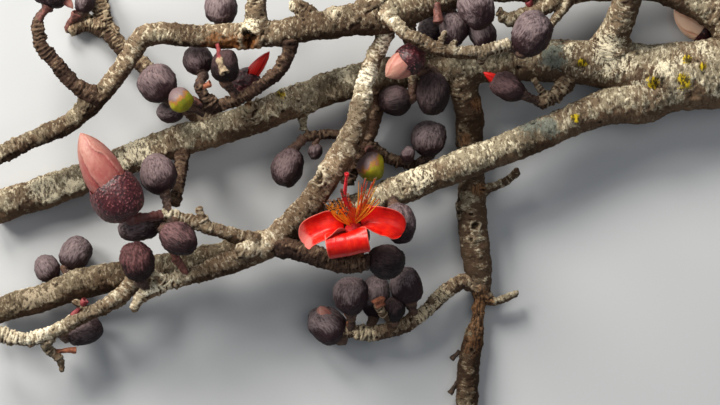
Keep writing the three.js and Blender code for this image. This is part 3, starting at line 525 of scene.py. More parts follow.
# Courses of limbs
def course(places, widths, pitch, round_tip=False):
    """A smooth line through the places, with its radius, evenly spaced."""
    knots = np.array(places)
    padded = np.vstack([2 * knots[0] - knots[1], knots, 2 * knots[-1] - knots[-2]])
    t = np.linspace(0, 1, COURSE_STEPS, endpoint=False)[:, None]
    lines = []
    for i in range(len(knots) - 1):
        p0, p1, p2, p3 = padded[i:i + 4]
        d0, d1, d2 = (np.linalg.norm(b - a) ** 0.5 for a, b in ((p0, p1), (p1, p2), (p2, p3)))
        slope1 = ((p1 - p0) / d0 - (p2 - p0) / (d0 + d1) + (p2 - p1) / d1) * d1
        slope2 = ((p2 - p1) / d1 - (p3 - p1) / (d1 + d2) + (p3 - p2) / d2) * d1
        cubic = (2 * t**3 - 3 * t**2 + 1) * p1 + (t**3 - 2 * t**2 + t) * slope1
        lines.append(cubic + (-2 * t**3 + 3 * t**2) * p2 + (t**3 - t**2) * slope2)
    line = np.vstack(lines + [knots[-1:]])
    size = np.interp(np.arange(len(line)) / COURSE_STEPS, np.arange(len(knots)), np.array(widths) / 2)
    along = np.concatenate([[0], np.cumsum(np.linalg.norm(np.diff(line, axis=0), axis=1))])
    even = np.linspace(0, along[-1], max(3, round(along[-1] / pitch) + 1))
    centres = np.stack([np.interp(even, along, line[:, k]) for k in range(3)], axis=1)
    radius = np.interp(even, along, size)
    if round_tip:
        left = (along[-1] - even) / (TIP_ROUNDNESS * radius[-1])
        radius = radius * np.sqrt(1 - 0.8 * np.clip(1 - left, 0, 1) ** 2)
    tangents = unit(np.gradient(centres, axis=0))
    return SimpleNamespace(centres=centres, radius=radius, tangents=tangents, along=even)


def limb_course(stations, round_tip=False):
    """The course of a limb or a shoot through its stations."""
    return course([spot(*s[:3]) for s in stations], [s[3] for s in stations], TUBE_PITCH, round_tip)


def frames_along(tangents):
    """Two directions across a line at each of its points, turning as little as they can."""
    side = np.cross(tangents[0], [0.3, 0.2, 0.93])
    sides = []
    for tangent in tangents:
        side = unit(side - tangent * side.dot(tangent))
        sides.append(side)
    return np.array(sides), np.cross(tangents, sides)


def clearance(points, carrier):
    """How far points lie outside a limb's own course."""
    away = np.linalg.norm(points[:, None] - carrier.centres[None], axis=2)
    return (away - carrier.radius).min(axis=1)


def flared(line, carrier, swell):
    """Thickens a limb where it leaves the limb that carries it."""
    out = np.maximum(clearance(line.centres, carrier), 0)
    line.radius = line.radius * (1 + swell * np.exp(-out / (FLARE_REACH * line.radius)))
    return line


# Shapes: points in millimetres and faces
def full_turn(sides):
    return np.linspace(0, 2 * math.pi, sides, endpoint=False)


def grid_faces(rings, sides, closed=True):
    """Quads between rings of points, or between the rows of an open sheet."""
    i, j = np.meshgrid(np.arange(rings - 1), np.arange(sides if closed else sides - 1), indexing="ij")
    a = i * sides + j
    b = i * sides + (j + 1) % sides
    return np.stack([a, b, b + sides, a + sides], axis=-1).reshape(-1, 4)


def tube(line, sides=TUBE_SIDES):
    """A tube along a line, closed by one flat face at either end."""
    normals, binormals = frames_along(line.tangents)
    turn = full_turn(sides)[None, :, None]
    rim = np.cos(turn) * normals[:, None] + np.sin(turn) * binormals[:, None]
    points = (line.centres[:, None] + rim * line.radius[:, None, None]).reshape(-1, 3)
    faces = grid_faces(len(normals), sides).tolist()
    return points, faces + [list(range(sides))[::-1], list(range(len(points) - sides, len(points)))]


def turned(radius, turns, along):
    """Places at those radii, turns and distances along the axis +Z."""
    return np.stack([radius * np.cos(turns), radius * np.sin(turns), along], axis=1)


def ball_grid(rings, sides):
    """The slopes and turns of rings of points on a ball, then those of its two poles."""
    slope = np.linspace(0, math.pi, rings + 2)[1:-1]
    slopes, turns = np.meshgrid(slope, full_turn(sides), indexing="ij")
    return np.append(slopes, [0, math.pi]), np.append(turns, [0, 0])


def ball_places(slopes, turns, fullness=1):
    return turned(np.sin(slopes) ** fullness, turns, -np.cos(slopes))


def egg_places(slopes, turns, length, width):
    return ball_places(slopes, turns, EGG_FULLNESS) * [width / 2, width / 2, length / 2]


def revolved(outline, steps, sides, width, height):
    """Rings of points that follow an outline, then those of its two poles."""
    knots = np.linspace(0, 1, len(outline))
    radius, along = (np.interp(np.linspace(0, 1, steps), knots, column) for column in zip(*outline))
    turns = np.append(np.tile(full_turn(sides), steps), [0, 0])
    rises = np.append(np.repeat(along, sides), along[[0, -1]])
    return turned(np.append(np.repeat(radius * width, sides), [0, 0]), turns, rises * height)


def closed_grid(rings, sides):
    """Faces of rings of points that are followed by one point at each pole."""
    count = rings * sides
    faces = grid_faces(rings, sides).tolist()
    for j in range(sides):
        k = (j + 1) % sides
        faces += [[count, k, j], [count + 1, count - sides + j, count - sides + k]]
    return faces


def sheet_faces(rows, row):
    """Faces of a closed sheet: its upper grid, its lower grid, and the edge between them."""
    under = rows * row
    top = grid_faces(rows, row, closed=False)
    grid = np.arange(under).reshape(rows, row)
    rim = np.concatenate([grid[0, :-1], grid[:-1, -1], grid[-1, :0:-1], grid[:0:-1, 0]])
    after = np.roll(rim, -1)
    edge = np.stack([after, rim, rim + under, after + under], axis=1)
    return np.vstack([top, top[:, ::-1] + under, edge]).tolist()


def joined(shapes):
    """Several shapes as one."""
    faces = []
    start = 0
    for points, corners in shapes:
        faces += [[start + corner for corner in face] for face in corners]
        start += len(points)
    return np.vstack([points for points, _ in shapes]), faces


def turned_to(points, foot, aim):
    """Stands a shape that points along +Z at a place and turns it along an aim."""
    spin = np.array(Vector((0, 0, 1)).rotation_difference(Vector(aim)).to_matrix())
    return points @ spin.T + foot


# Meshes and pieces
def mark_mesh(mesh, marks, own=None):
    """Gives a mesh its marks, three values each, and the straightened places, for materials to read."""
    for mark, values in marks.items():
        colours = np.ones((len(mesh.vertices), 4), np.float32)
        for channel, value in enumerate(values):
            colours[:, channel] = np.clip(value, 0, 1)
        mesh.attributes.new(mark, "FLOAT_COLOR", "POINT").data.foreach_set("color", colours.ravel())
    if own is not None:
        places = (own / MM).astype(np.float32).ravel()
        mesh.attributes.new("own", "FLOAT_VECTOR", "POINT").data.foreach_set("vector", places)


def make_mesh(name, points, faces, marks, own=None):
    """A smoothly shaded mesh from points in millimetres."""
    mesh = bpy.data.meshes.new(name)
    mesh.from_pydata((points / MM).tolist(), [], faces)
    mark_mesh(mesh, marks, own)
    mesh.shade_smooth()
    mesh.update()
    return mesh


def add_piece(name, mesh, paints, slot, *nodes):
    """Puts a mesh in the scene as a piece of the bough."""
    piece = bpy.data.objects.new(name, mesh)
    bpy.context.collection.objects.link(piece)
    for paint in paints:
        mesh.materials.append(bpy.data.materials[paint])
    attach(piece, "root")
    if nodes:
        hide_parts(*nodes)


def add_set(name, shapes, kinds, paints, slot, *nodes):
    """Adds several shapes as one piece. Kinds name the paint of each shape."""
    points, faces = joined(shapes)
    mesh = make_mesh(name, points, faces, {})
    paints = list(paints)
    add_piece(f"{name}_set", mesh, paints, slot, *nodes)
    indices = [paints.index(kind) for kind, shape in zip(kinds, shapes) for _ in shape[1]]
    mesh.polygons.foreach_set("material_index", indices)


def fused(shells, voxel):
    """One closed mesh round several closed shells, with its points and its edges."""
    points, faces = joined(shells)
    mesh = bpy.data.meshes.new("shells")
    mesh.from_pydata(points.tolist(), [], faces)
    holder = bpy.data.objects.new("shells", mesh)
    bpy.context.collection.objects.link(holder)
    remesh = holder.modifiers.new("fuse", "REMESH")
    remesh.mode = "VOXEL"
    remesh.voxel_size = voxel
    graph = bpy.context.evaluated_depsgraph_get()
    made = bpy.data.meshes.new_from_object(holder.evaluated_get(graph))
    places = np.empty(len(made.vertices) * 3)
    made.vertices.foreach_get("co", places)
    edges = np.empty(len(made.edges) * 2, np.int64)
    made.edges.foreach_get("vertices", edges)
    bpy.data.objects.remove(holder)
    bpy.data.meshes.remove(mesh)
    return made, places.reshape(-1, 3), edges.reshape(-1, 2)


def eased(values, edges, rounds, keep_size=False):
    """Evens out values over a mesh. With keep_size, thin shapes don't shrink."""
    flat = values.reshape(len(values), -1).astype(float)
    count = np.maximum(np.bincount(edges.ravel(), minlength=len(values)), 1)
    for turn in range(rounds):
        total = np.zeros_like(flat)
        for a, b in ((0, 1), (1, 0)):
            for k in range(flat.shape[1]):
                total[:, k] += np.bincount(edges[:, a], flat[edges[:, b], k], len(flat))
        share = -0.53 if keep_size and turn % 2 else 0.5
        flat = flat + share * (total / count[:, None] - flat)
    return flat.reshape(values.shape)


def normals_of(mesh, points):
    mesh.vertices.foreach_set("co", points.ravel())
    mesh.update()
    normals = np.empty(len(points) * 3, np.float32)
    mesh.vertex_normals.foreach_get("vector", normals)
    return normals.reshape(-1, 3).astype(float)


# Limbs
def trimmed(points):
    """Flattens, in place, what lies beyond the sawn end or the lower pruning cut."""
    np.minimum(points[:, 0], SAWN_X, out=points[:, 0])
    np.maximum(points[:, 1], PRUNED_Y, out=points[:, 1])
    return points


def straightened(points, main, shoots):
    """Places as if a limb and its shoots were straight, and what is nearest to each on their courses.

    Returns the places, and the direction and radius of the nearest course, how far off its tip is
    and whether it is the main one. Shoots count from starts of their own.
    """
    guides = []
    # A shoot guides nothing that lies deep inside the limb
    for i, line in enumerate([main] + shoots):
        across, over = frames_along(line.tangents)
        keep = np.ones(len(across), bool)
        if i:
            keep = clearance(line.centres, main) > -0.3 * line.radius
        guides.append(np.column_stack([
            line.centres, line.tangents, across, over, line.radius, line.along + i * SHOOT_START,
            line.along[-1] - line.along, np.full(len(across), i == 0),
        ])[keep])
    guide = np.vstack(guides)
    tree = kdtree.KDTree(len(guide))
    for i, centre in enumerate(guide[:, :3]):
        tree.insert(centre, i)
    tree.balance()
    near = guide[[tree.find(place)[1] for place in points.tolist()]]
    offset = points - near[:, :3]
    own = np.stack([(offset * near[:, k:k + 3]).sum(axis=1) for k in (3, 6, 9)], axis=1)
    radius, along, to_tip, on_main = near[:, 12:].T
    own[:, 0] += along
    return own, near[:, 3:6], radius, to_tip, on_main


def bark_relief(at, own, facing, thick, to_tip, crust, rings, seed):
    """Height of the bark, and how far its crust, its rings and its pits go.

    at is the place in the frame, own the place as if the limb were straight, and facing how far
    the surface faces the side that the crust grows on, which is the side towards the lights, so the
    crust is partly painted light.
    """
    height = 0.07 * np.minimum(thick, 22) * rough(at, 26, 2, 11) + 0.7 * rough(at, 8, 2, 23)
    fringe = waves(own / [3.6, 12, 12], seed)
    border = facing - 0.2 + crust + 0.4 * rough(at, 24, 2, 37) + 0.3 * fringe
    crusted = soft_step(-0.1, 0.1, border)
    flakes = creases(own / [5, 14, 14], seed + 1)
    near, number = grains(own / [3.5, 4.6, 4.6], seed + 5)
    grain = soft_step(0.8, 0.2, near) * number
    height += crusted * (0.5 + 1.1 * (flakes**2 - 0.4) + 1.2 * (grain - 0.3))
    height += (1 - crusted) * (0.4 * waves(own / [5, 12, 12], seed + 2) + 0.8 * (grain - 0.3))
    # Pits sink into the bark and are painted dark inside, as painted shade
    near, number = grains(own / 9, seed + 9)
    pits = soft_step(0.35, 0.1, near) * (number < 0.12)

    # Old leaf scars ring everything slim, and some of them stand out as knobs
    wobble = 0.22 * waves(own / [30, 7, 7], seed + 3) + 0.35 * waves(own / [8, 6, 6], seed + 4)
    phase = own[:, 0] / RING_PITCH + wobble
    ring = np.floor(phase + 0.5).astype(np.int64)
    strong = 0.4 + 0.6 * chance(np.stack([ring, ring, ring], axis=1), seed)
    ridge = (0.5 + 0.5 * np.cos(2 * math.pi * phase)) ** 1.5 * strong
    fresh = 0.6 + 0.4 * soft_step(60, 20, to_tip)
    slim = rings * soft_step(12, 8, thick) * fresh
    near, number = grains(own / [6.5, 6, 6], seed + 6)
    knob = soft_step(0.7, 0.25, near) * (number > 0.6)
    height += slim * 0.19 * np.clip(thick, 4, 8) * (ridge - 0.3 + 1.2 * knob)
    return height - 0.8 * pits, border, slim * np.maximum(ridge, 0.8 * knob), pits


def make_limb(name, limb):
    """Meshes a limb with its shoots as one closed skin, then raises the bark on it."""
    bark = BARKS[limb["bark"]]
    main = limb_course(limb["stations"], round_tip=name not in CUT_ENDS)
    if limb["on"]:
        main = flared(main, COURSES[limb["on"]], limb.get("flare", FLARE))
    shoots = [flared(limb_course(shoot, True), main, SHOOT_FLARE) for shoot in limb.get("shoots", [])]
    shells = [tube(line) for line in [main] + shoots]
    for shell, _ in shells:
        trimmed(shell)
    made, points, edges = fused(shells, bark["voxel"])
    points = eased(points, edges, 8, keep_size=True)
    normals = normals_of(made, points)
    own, direction, radius, to_tip, on_main = straightened(points, main, shoots)
    ends = np.abs((normals * direction).sum(axis=1))
    at_end = (on_main > 0) & (own[:, 0] > main.along[-1] - 1.5) & (name in CUT_ENDS)
    sawn = soft_step(*CUT_MARGIN, SAWN_X - points[:, 0])
    pruned = soft_step(*CUT_MARGIN, points[:, 1] - PRUNED_Y)
    cut = np.max([soft_step(0.8, 0.95, ends) * at_end, sawn, pruned], axis=0)
    # How far the surface faces the lights: the crust there is partly painted light, the bare bark beyond
    # it partly painted shade
    facing = normals @ LIT_CRUST_SIDE / np.linalg.norm(LIT_CRUST_SIDE)
    height, border, ridge, pits = bark_relief(
        points, own, facing, radius, to_tip, bark["crust"] + limb.get("crust", 0), bark["rings"],
        sum(ord(letter) for letter in name) * 7,
    )
    up = soft_step(-0.1, 0.35, normals[:, 2])

    def shares_of(across, down, reach):
        """How far each point lies from a place, as a share of a reach."""
        return np.hypot(*(points - spot(across, down, 0))[:, :2].T) / reach

    for across, down, reach, rim, depth in KNOTS.get(name, []):
        away = shares_of(across, down, reach) + 0.33 * rough(points, 5, 3, 71)
        ring = np.exp(-((away - 1) / 0.3) ** 2)
        bowl = np.exp(-(away / 0.62) ** 4)
        height += up * (rim * ring - depth * bowl)
        # Deep holes are painted dark inside, as painted shade
        pits = np.maximum(pits, up * bowl * (depth > 3))
        ridge = np.maximum(ridge, 0.8 * up * ring * (rim > 1) * (depth > 0))
    grown = {kind: np.zeros(len(points)) for kind in GROWTH_LIFTS}
    fringe = 0.2 * rough(points, 7, 3, 83)
    crumble = 0.3 * rough(points, 3, 2, 89)
    for kind, places in GROWTHS.get(name, {}).items():
        for place in places:
            patch = up * np.clip(1.1 - 0.5 * shares_of(*place) - fringe, 0, 1)
            grown[kind] = np.maximum(grown[kind], patch)
            height += soft_step(0.5, 0.65, patch + crumble) * GROWTH_LIFTS[kind]
    height = height * (1 - 0.85 * cut)
    points = trimmed(points + normals * height[:, None])
    np.maximum(points[:, 2], GROUND, out=points[:, 2])
    # How far each point lies in a hollow: the bark is painted darker there, as painted shade
    hollow = eased(height, edges, 6) - height
    yearly = 0.5 + 0.5 * np.sin(np.hypot(own[:, 1], own[:, 2]) * 1.9 + waves(own / 6, 3))
    tone = 0.5 + limb.get("tone", 0) + 0.5 * rough(points, 45, 3, 97)
    # The relief mark carries the dark growths, mostly painted shade
    mark_mesh(made, {
        "skin": (0.5 + 0.5 * hollow + 0.2 * pits, tone, cut),
        "growth": (0.5 + border, grown["white"], grown["yellow"]),
        "patches": (grown["rust"], grown["grey"], grown["bare"]),
        "relief": (ridge, grown["dark"], yearly),
    }, own)
    made.vertices.foreach_set("co", (points / MM).ravel())
    made.shade_smooth()
    made.update()
    made.name = name
    add_piece(f"{name}_bark", made, [limb["bark"]], bark["slot"], name)


# Buds
def bud_stalk(centre, length, width, aim, root, seed):
    """A knobbly stalk from the twig to inside the bud."""
    base = centre - aim * length * 0.5
    thick = min(STALK_THICKNESS, width * 0.32)
    places = [root, root + (base - root) * 0.6, base, centre - aim * length * 0.3]
    way = course(places, [thick * 1.15, thick * 0.95, thick * 1.35, thick * 1.8], 1.3)
    way.radius = way.radius * (1 + 0.07 * np.cos(way.along * 2 * math.pi / 5.5))
    points, faces = tube(way, STALK_SIDES)
    away = unit(points - np.repeat(way.centres, STALK_SIDES, axis=0))
    return points + away * rough(points, 4, 2, seed + 3)[:, None], faces


def stalked(bud, stalk, skin, stalk_skin):
    """A bud and its stalk as one shape, with marks of hollows, of tone and of what is stalk."""
    count = len(stalk[0])
    skin = [np.append(own, np.broadcast_to(other, count)) for own, other in zip(skin, stalk_skin)]
    return *joined([bud, stalk]), (*skin, np.repeat([0, 1], [len(bud[0]), count]))


def make_bud(name, centre, length, width, aim, root, *nodes):
    """A closed bud: a wrinkled egg, a little lopsided, on a stalk."""
    green = "green" in name
    seed = own_seed(name)
    foot = spot(*centre)
    aim = heading(*aim)
    sides = max(40, round(math.pi * width / BUD_PITCH))
    rings = max(24, round(1.3 * length / BUD_PITCH))
    slopes, turns = ball_grid(rings, sides)
    ball = ball_places(slopes, turns)
    shape = egg_places(slopes, turns, length, width)
    size = width / 36
    taper = 0.1 * (1 - 2 * chance(np.array([[seed, 1, 1]]), 3)[0])
    swell = 2.0 * size * rough(ball, 1.1, 2, seed + 5) + taper * ball[:, 2] * np.sin(slopes) * width / 2
    folds = creases(ball * [8.5, 8.5, 1.6] + seed % 97, seed)
    fine = creases(ball * [13, 13, 3], seed + 1)
    near, number = grains(shape / [2.2, 2.2, 3.6], seed + 2)
    warts = soft_step(0.65, 0.15, near) * number
    deep = FOLD_DEPTHS.get(name, 1.0) * size
    wrinkles = deep * (0.8 * (folds**3 - 0.5) + 0.6 * (fine**3 - 0.5) + 0.4 * (warts - 0.25))
    egg = turned_to(shape + unit(shape) * (swell + wrinkles)[:, None], foot, aim)
    stalk = bud_stalk(foot, length, width, aim, spot(*root), seed)
    # Deeper wrinkles are marked for painted shade, their ridges for painted highlights
    points, faces, skin = stalked(
        (egg, closed_grid(rings, sides)), stalk,
        (0.5 - 0.42 * wrinkles / max(deep, 0.5), 0.5 + 0.5 * rough(ball, 0.7, 3, seed + 7)),
        (0.45 + 0.3 * rough(stalk[0], 4, 2, seed), 0.5 + 0.5 * rough(stalk[0], 9, 2, seed + 1)),
    )
    # For purple buds, how far a point faces the lights, for their painted sheen and painted shade
    side = GREEN_SIDE if green else SHEEN_SIDE
    lit = (0.5 + (points - foot) @ side / width) * (1 - skin[2])
    tints = BUD_TINTS.get(name, (0.3 * (seed % 7) / 6, 0.25 * (seed % 5) / 4))
    marks = {"skin": skin, "place": (lit, *tints)}
    mesh = make_mesh(name, points, faces, marks, np.vstack([shape, stalk[0]]))
    slot = "green_bud" if green else "bud"
    add_piece(f"{name}_skin", mesh, [slot.replace("_", " ") + " skin"], slot, *nodes)


def make_opening_bud(name, centre, length, width, aim, root, petals, cone):
    """A split calyx with folded petals standing out of it."""
    seed = own_seed(name)
    foot = spot(*centre)
    aim = heading(*aim)
    sides = round(math.pi * width / OPENING_PITCH)
    turn = full_turn(sides)
    opening = math.pi - math.asin(min(0.97, (cone / width * 0.98) ** (1 / EGG_FULLNESS)))
    rim = opening + 0.12 * np.cos(3 * turn + seed) + 0.05 * np.cos(7 * turn + 2 * seed)
    share = np.linspace(0, 1, round(1.45 * length / OPENING_PITCH) + 1)[1:]
    outer = share[:, None] * np.minimum(rim, math.pi - 0.12)
    # The inner wall goes back down in longer steps
    inner = outer[::-1][2:-6:4]
    rings = len(outer) + len(inner)
    slopes = np.append(np.vstack([outer, inner]), [0, 0])
    turns = np.append(np.tile(turn, rings), [0, 0])
    depth = np.append(np.repeat([0, OPENING_WALL], [outer.size, inner.size]), [0, OPENING_WALL])
    shape = egg_places(slopes, turns, length, width)
    ball = ball_places(slopes, turns)
    near, number = grains(shape / 2.3, seed + 2)
    warts = soft_step(0.78, 0.2, near) * (0.6 + 0.4 * number)
    height = 0.9 * rough(ball, 0.9, 2, seed + 5) + np.where(depth == 0, 0.75 * (warts - 0.3), -depth)
    calyx = turned_to(shape + unit(ball * [1, 1, 0.9]) * height[:, None], foot, aim)
    stalk = bud_stalk(foot, length, width, aim, spot(*root), seed)
    # The skin mark sets painted highlights on the warts and painted shade between them
    points, faces, skin = stalked(
        (calyx, closed_grid(rings, sides)), stalk,
        (0.62 - 0.5 * warts, 0.5 + 0.5 * rough(ball, 0.8, 3, seed + 7)), (0.5, 0.5),
    )
    mesh = make_mesh(name, points, faces, {"skin": skin})
    add_piece(f"{name}_calyx", mesh, ["opening bud skin"], "opening_bud", name)
    make_folded_petals(name, foot, aim, length, petals, cone, seed)


def make_folded_petals(name, foot, aim, length, petals, cone, seed):
    """Petals wrapped round each other into a blunt point."""
    reach = length * 0.5 + petals
    sides = round(math.pi * cone / PETAL_PITCH)
    rings = round(reach * 1.1 / PETAL_PITCH)
    rise = np.sin(np.linspace(0.02, 0.995, rings) * math.pi / 2)
    along, around = np.meshgrid(rise, full_turn(sides), indexing="ij")
    along = np.append(along, [0, 1])
    around = np.append(around, [0, 0])
    beyond = np.maximum(0, along - 0.3) / 0.7
    radius = cone / 2 * (1 - 0.1 * np.maximum(0, 1 - along / 0.3)) * (1 - beyond**1.9) ** 0.75
    straight = turned(radius, around, reach * along)
    wander = 0.16 * waves(straight / [9, 9, 14], seed)
    wrap = (around / (2 * math.pi) * 5 + 0.7 * along + wander + seed * 0.37) % 1
    step = 1.3 * (cone / 42) * (1 - wrap) ** 1.5 * np.minimum(1, 5 * (1 - along))
    veins = 0.22 * waves(straight / [1.6, 1.6, 9], seed + 1)
    radius = np.maximum(radius + step + veins - 0.9, 0.05) * (1 + 0.05 * np.cos(2 * around + seed))
    shape = turned(radius, around, reach * along)
    shape[-2:, :2] = 0
    shape[:, 0] += 0.05 * cone * along**2
    # Edge marks a painted highlight along each petal's edge, under the painted shade where it goes under
    # the next
    marks = {
        "skin": (soft_step(0.2, 0.0, wrap), soft_step(0.6, 1, wrap), along),
        "place": (name in SCARLET_PETALS, PEACH_PETALS.get(name, 0), 0),
    }
    points = turned_to(shape, foot, aim)
    mesh = make_mesh(f"{name}_petals", points, closed_grid(rings, sides), marks, straight)
    add_piece(f"{name}_petals", mesh, ["folded petal"], "petal")


def make_spent_stalks():
    """Short knobbly stalks whose buds have dropped, each flared into a cup, as one piece."""
    steps, sides = 22, 20
    stalks = []
    for i, (foot, tip, thick, _) in enumerate(SPENT_STALKS):
        line = spot(*tip) - spot(*foot)
        shape = revolved(STALK_OUTLINE, steps, sides, thick, np.linalg.norm(line))
        shape += np.stack([rough(shape + 40 * i, 5, 3, axis) for axis in range(3)], axis=1) * 0.11 * thick
        stalks.append((turned_to(shape, spot(*foot), unit(line)), closed_grid(steps, sides)))
    kinds = [f"{stalk[3]} stalk" for stalk in SPENT_STALKS]
    add_set("spent_stalks", stalks, kinds, STALK_PAINTS, "calyx")


# The open flower
AXIS = heading(*FLOWER_FACING)
RIGHT = unit(np.array([1, 0, 0]) - AXIS * AXIS[0])
REAR = np.cross(AXIS, RIGHT)
THROAT = spot(*FLOWER_FOOT) + AXIS * CALYX_HEIGHT


def outward(turn):
    """The direction away from the flower's axis at that turn round it."""
    return RIGHT * math.cos(turn) + REAR * math.sin(turn)


def make_petal(number, turn, share, full_width, lean_root, lean_tip, cup, root_bend, twist, aside):
    """A thin petal that leans out, curls over and turns its face, with veins and a rolled edge."""
    out = outward(math.radians(turn))
    rim = np.cross(AXIS, out)
    t = np.linspace(0, 1, PETAL_STEPS + 1)
    lean = np.radians(lean_root + (lean_tip - lean_root) * t)[:, None]
    way = np.radians(lean_root + (lean_tip - lean_root) * (t + LEAN_AHEAD))[:, None]
    flat = np.sin(lean) * AXIS - np.cos(lean) * out
    face_turn = math.radians(twist) * np.minimum(1, 2 * t)[:, None]
    across = np.cos(face_turn) * rim + np.sin(face_turn) * flat
    inner = np.cos(face_turn) * flat - np.sin(face_turn) * rim
    strides = (np.cos(way) * AXIS + np.sin(way) * out) * (PETAL_LENGTH * share / PETAL_STEPS)
    strides[0] = THROAT + out * PETAL_ROOT_RADIUS + AXIS * PETAL_RISE + rim * aside
    middle = np.cumsum(strides, axis=0)
    width = petal_width(full_width, t)[:, None]
    bend = 1 / root_bend + (1 / cup - 1 / root_bend) * np.minimum(1, 3 * t)[:, None]
    s = np.linspace(-0.5, 0.5, PETAL_STRIPS + 1)[None, :]
    side = np.abs(2 * s)
    curl = s * width * bend
    rows = t[:, None]
    lying = np.broadcast_arrays(s * full_width, rows * PETAL_LENGTH * share, 9.0 * number)
    lying = np.stack(lying, axis=-1).reshape(-1, 3)

    def pattern(stretch, seed):
        return waves(lying / stretch, number + seed).reshape(curl.shape)

    veins = pattern([2.4, 22, 9], 0) + 0.6 * pattern([1.2, 14, 9], 9)
    ruffle = 1.1 * pattern([9, 7, 9], 20) * side**2 * rows
    dent = -0.7 * np.exp(-((s / 0.05) ** 2)) * (1 - rows)
    broad = 0.9 * pattern([14, 20, 9], 30)
    lift = (0.13 * veins * (1 - 0.5 * side) + ruffle + dent + broad * rows)[..., None]
    sine, cosine = (values[..., None] for values in (np.sin(curl), np.cos(curl)))
    face = inner[:, None] * cosine - across[:, None] * sine
    spread = across[:, None] * sine + inner[:, None] * (1 - cosine)
    blade = middle[:, None] + spread / bend[..., None] + face * lift
    thin = face * (0.3 + 0.55 * (1 - side**4) * (1 - 0.5 * rows))[..., None]
    points = np.vstack([blade + thin, blade - thin]).reshape(-1, 3)
    skin = [np.tile(values.ravel(), 2) for values in np.broadcast_arrays(0.5 + 0.3 * veins, side, rows)]
    outside = np.repeat([0, 1], curl.size)
    marks = {"skin": skin, "place": (outside, number == FRONT_PETAL, number == LEFT_PETAL)}
    faces = sheet_faces(PETAL_STEPS + 1, PETAL_STRIPS + 1)
    mesh = make_mesh(f"petal_{number}", points, faces, marks, np.vstack([lying, lying]))
    node = f"flower_petal_{number}"
    add_piece(f"{node}_blade", mesh, ["red petal"], "petal", node)


def petal_width(full, t):
    """Widens from its root, keeps its width, and ends in a round tip."""
    widened = PETAL_ROOT_WIDTH + (full - PETAL_ROOT_WIDTH) * np.minimum(1, t / 0.2) ** 0.7
    # Divided by a little more than the length that is left, so that the tip keeps some width
    tip = np.maximum(0, t - 0.6) / 0.405
    return widened * np.sqrt(1 - tip * tip)


def make_calyx():
    """The thick brown cup of the flower, on its short stalk."""
    steps, sides = 60, 96
    shape = revolved(CALYX_OUTLINE, steps, sides, CALYX_WIDTH, CALYX_HEIGHT)
    turns = np.arctan2(shape[:, 1], shape[:, 0])
    shape[:, 2] += 1.2 * np.cos(5 * turns) * soft_step(0.7, 1, shape[:, 2] / CALYX_HEIGHT)
    warts = soft_step(0.6, 0.2, grains(shape / 2.6, 5)[0])
    height = 0.5 * (warts - 0.5) + 0.5 * rough(shape, 8, 2, 9)
    shape = shape + unit(shape * [1, 1, 0]) * height[:, None]
    # Painted highlights on the warts and painted shade between them
    marks = {"skin": (0.6 - 0.4 * warts, 0.5 + 0.5 * rough(shape, 12, 2, 3), 0)}
    points = turned_to(shape, spot(*FLOWER_FOOT), AXIS)
    mesh = make_mesh("calyx", points, closed_grid(steps, sides), marks)
    add_piece("flower_calyx_skin", mesh, ["calyx skin"], "calyx", "flower_calyx")


def anther(at, aim, size):
    """A small kidney-shaped grain that lies across an aim."""
    rings, sides = 5, 10
    shape = ball_places(*ball_grid(rings, sides)) * [size * 0.5, size * 0.45, size]
    return turned_to(shape, at, unit(np.cross(aim, [0.3, 0.5, 0.8]))), closed_grid(rings, sides)


def make_stamens():
    """Filaments with anthers, and the style among them, joined into one piece."""
    draw = np.random.default_rng(7).uniform
    seat = THROAT + AXIS * 0.4
    top = seat + AXIS * 10
    column = course([seat - AXIS, seat + AXIS * 2.5, seat + AXIS * 6, top], [18, 12, 8, 5.5], 1)
    shapes = [tube(column, 24)]
    kinds = ["style"]

    def strand(foot, tip, bow, radius, sides, kind):
        places = [foot, (foot + tip) / 2 + bow, tip]
        shapes.append(tube(course(places, [radius * 2, radius * 1.8, radius * 1.3], 1.8), sides))
        kinds.append(kind)

    def stamen(foot, tip, out, bow, radius, sides, kind, size, anther_kind):
        strand(foot, tip, out * draw(0, bow), radius, sides, kind)
        shapes.append(anther(tip, AXIS + out * draw(-1, 1), size))
        kinds.append(anther_kind)

    for i in range(OUTER_FILAMENTS):
        turn = 2 * math.pi * (i * GOLDEN_TURN + draw(-0.02, 0.02))
        out = outward(turn)
        foot = seat + AXIS * draw(3, 8) + out * draw(1.8, 3.4)
        tip = top + AXIS * draw(14, 27) + out * draw(5, 13) - RIGHT * draw(2, 11)
        kind = "gold filament" if math.cos(turn) < draw(-0.6, 1.2) else "red filament"
        stamen(foot, tip, out, 3.5, 0.55, 6, kind, 1.5, "anther" if i % 3 else "pale anther")
    for i in range(SIDE_FILAMENTS):
        out = outward(draw(-0.5, 0.9))
        foot = seat + AXIS * draw(3, 8) + out * draw(1.8, 3.4)
        tip = top + AXIS * draw(16, 50) + RIGHT * draw(16, 34)
        kind = "red filament" if i % 2 else "gold filament"
        stamen(foot, tip, out, 3.0, 0.6, 6, kind, 1.3, "pale anther")
    for i in range(INNER_FILAMENTS):
        out = outward(2 * math.pi * i / INNER_FILAMENTS)
        foot = top - AXIS * 2 + out * 1.8
        tip = top + AXIS * draw(30, 38) + out * draw(0.5, 2.6) - RIGHT * 2
        stamen(foot, tip, out, 0.8, 1.2, 7, "style", 1.8, "anther")
    style_tip = top + AXIS * STYLE_REACH + RIGHT * 6
    strand(seat + AXIS * 4, style_tip - AXIS * 2, REAR * 0.5 - RIGHT * 4.5, 2.4, 14, "pink style")
    for turn in full_turn(5):
        out = outward(turn)
        strand(style_tip - AXIS * 5, style_tip + out * 1.6, out * 0.9, 0.9, 8, "pink style")
    add_set("flower_stamens", shapes, kinds, STAMEN_PAINTS, "stamens", "flower_stamens")


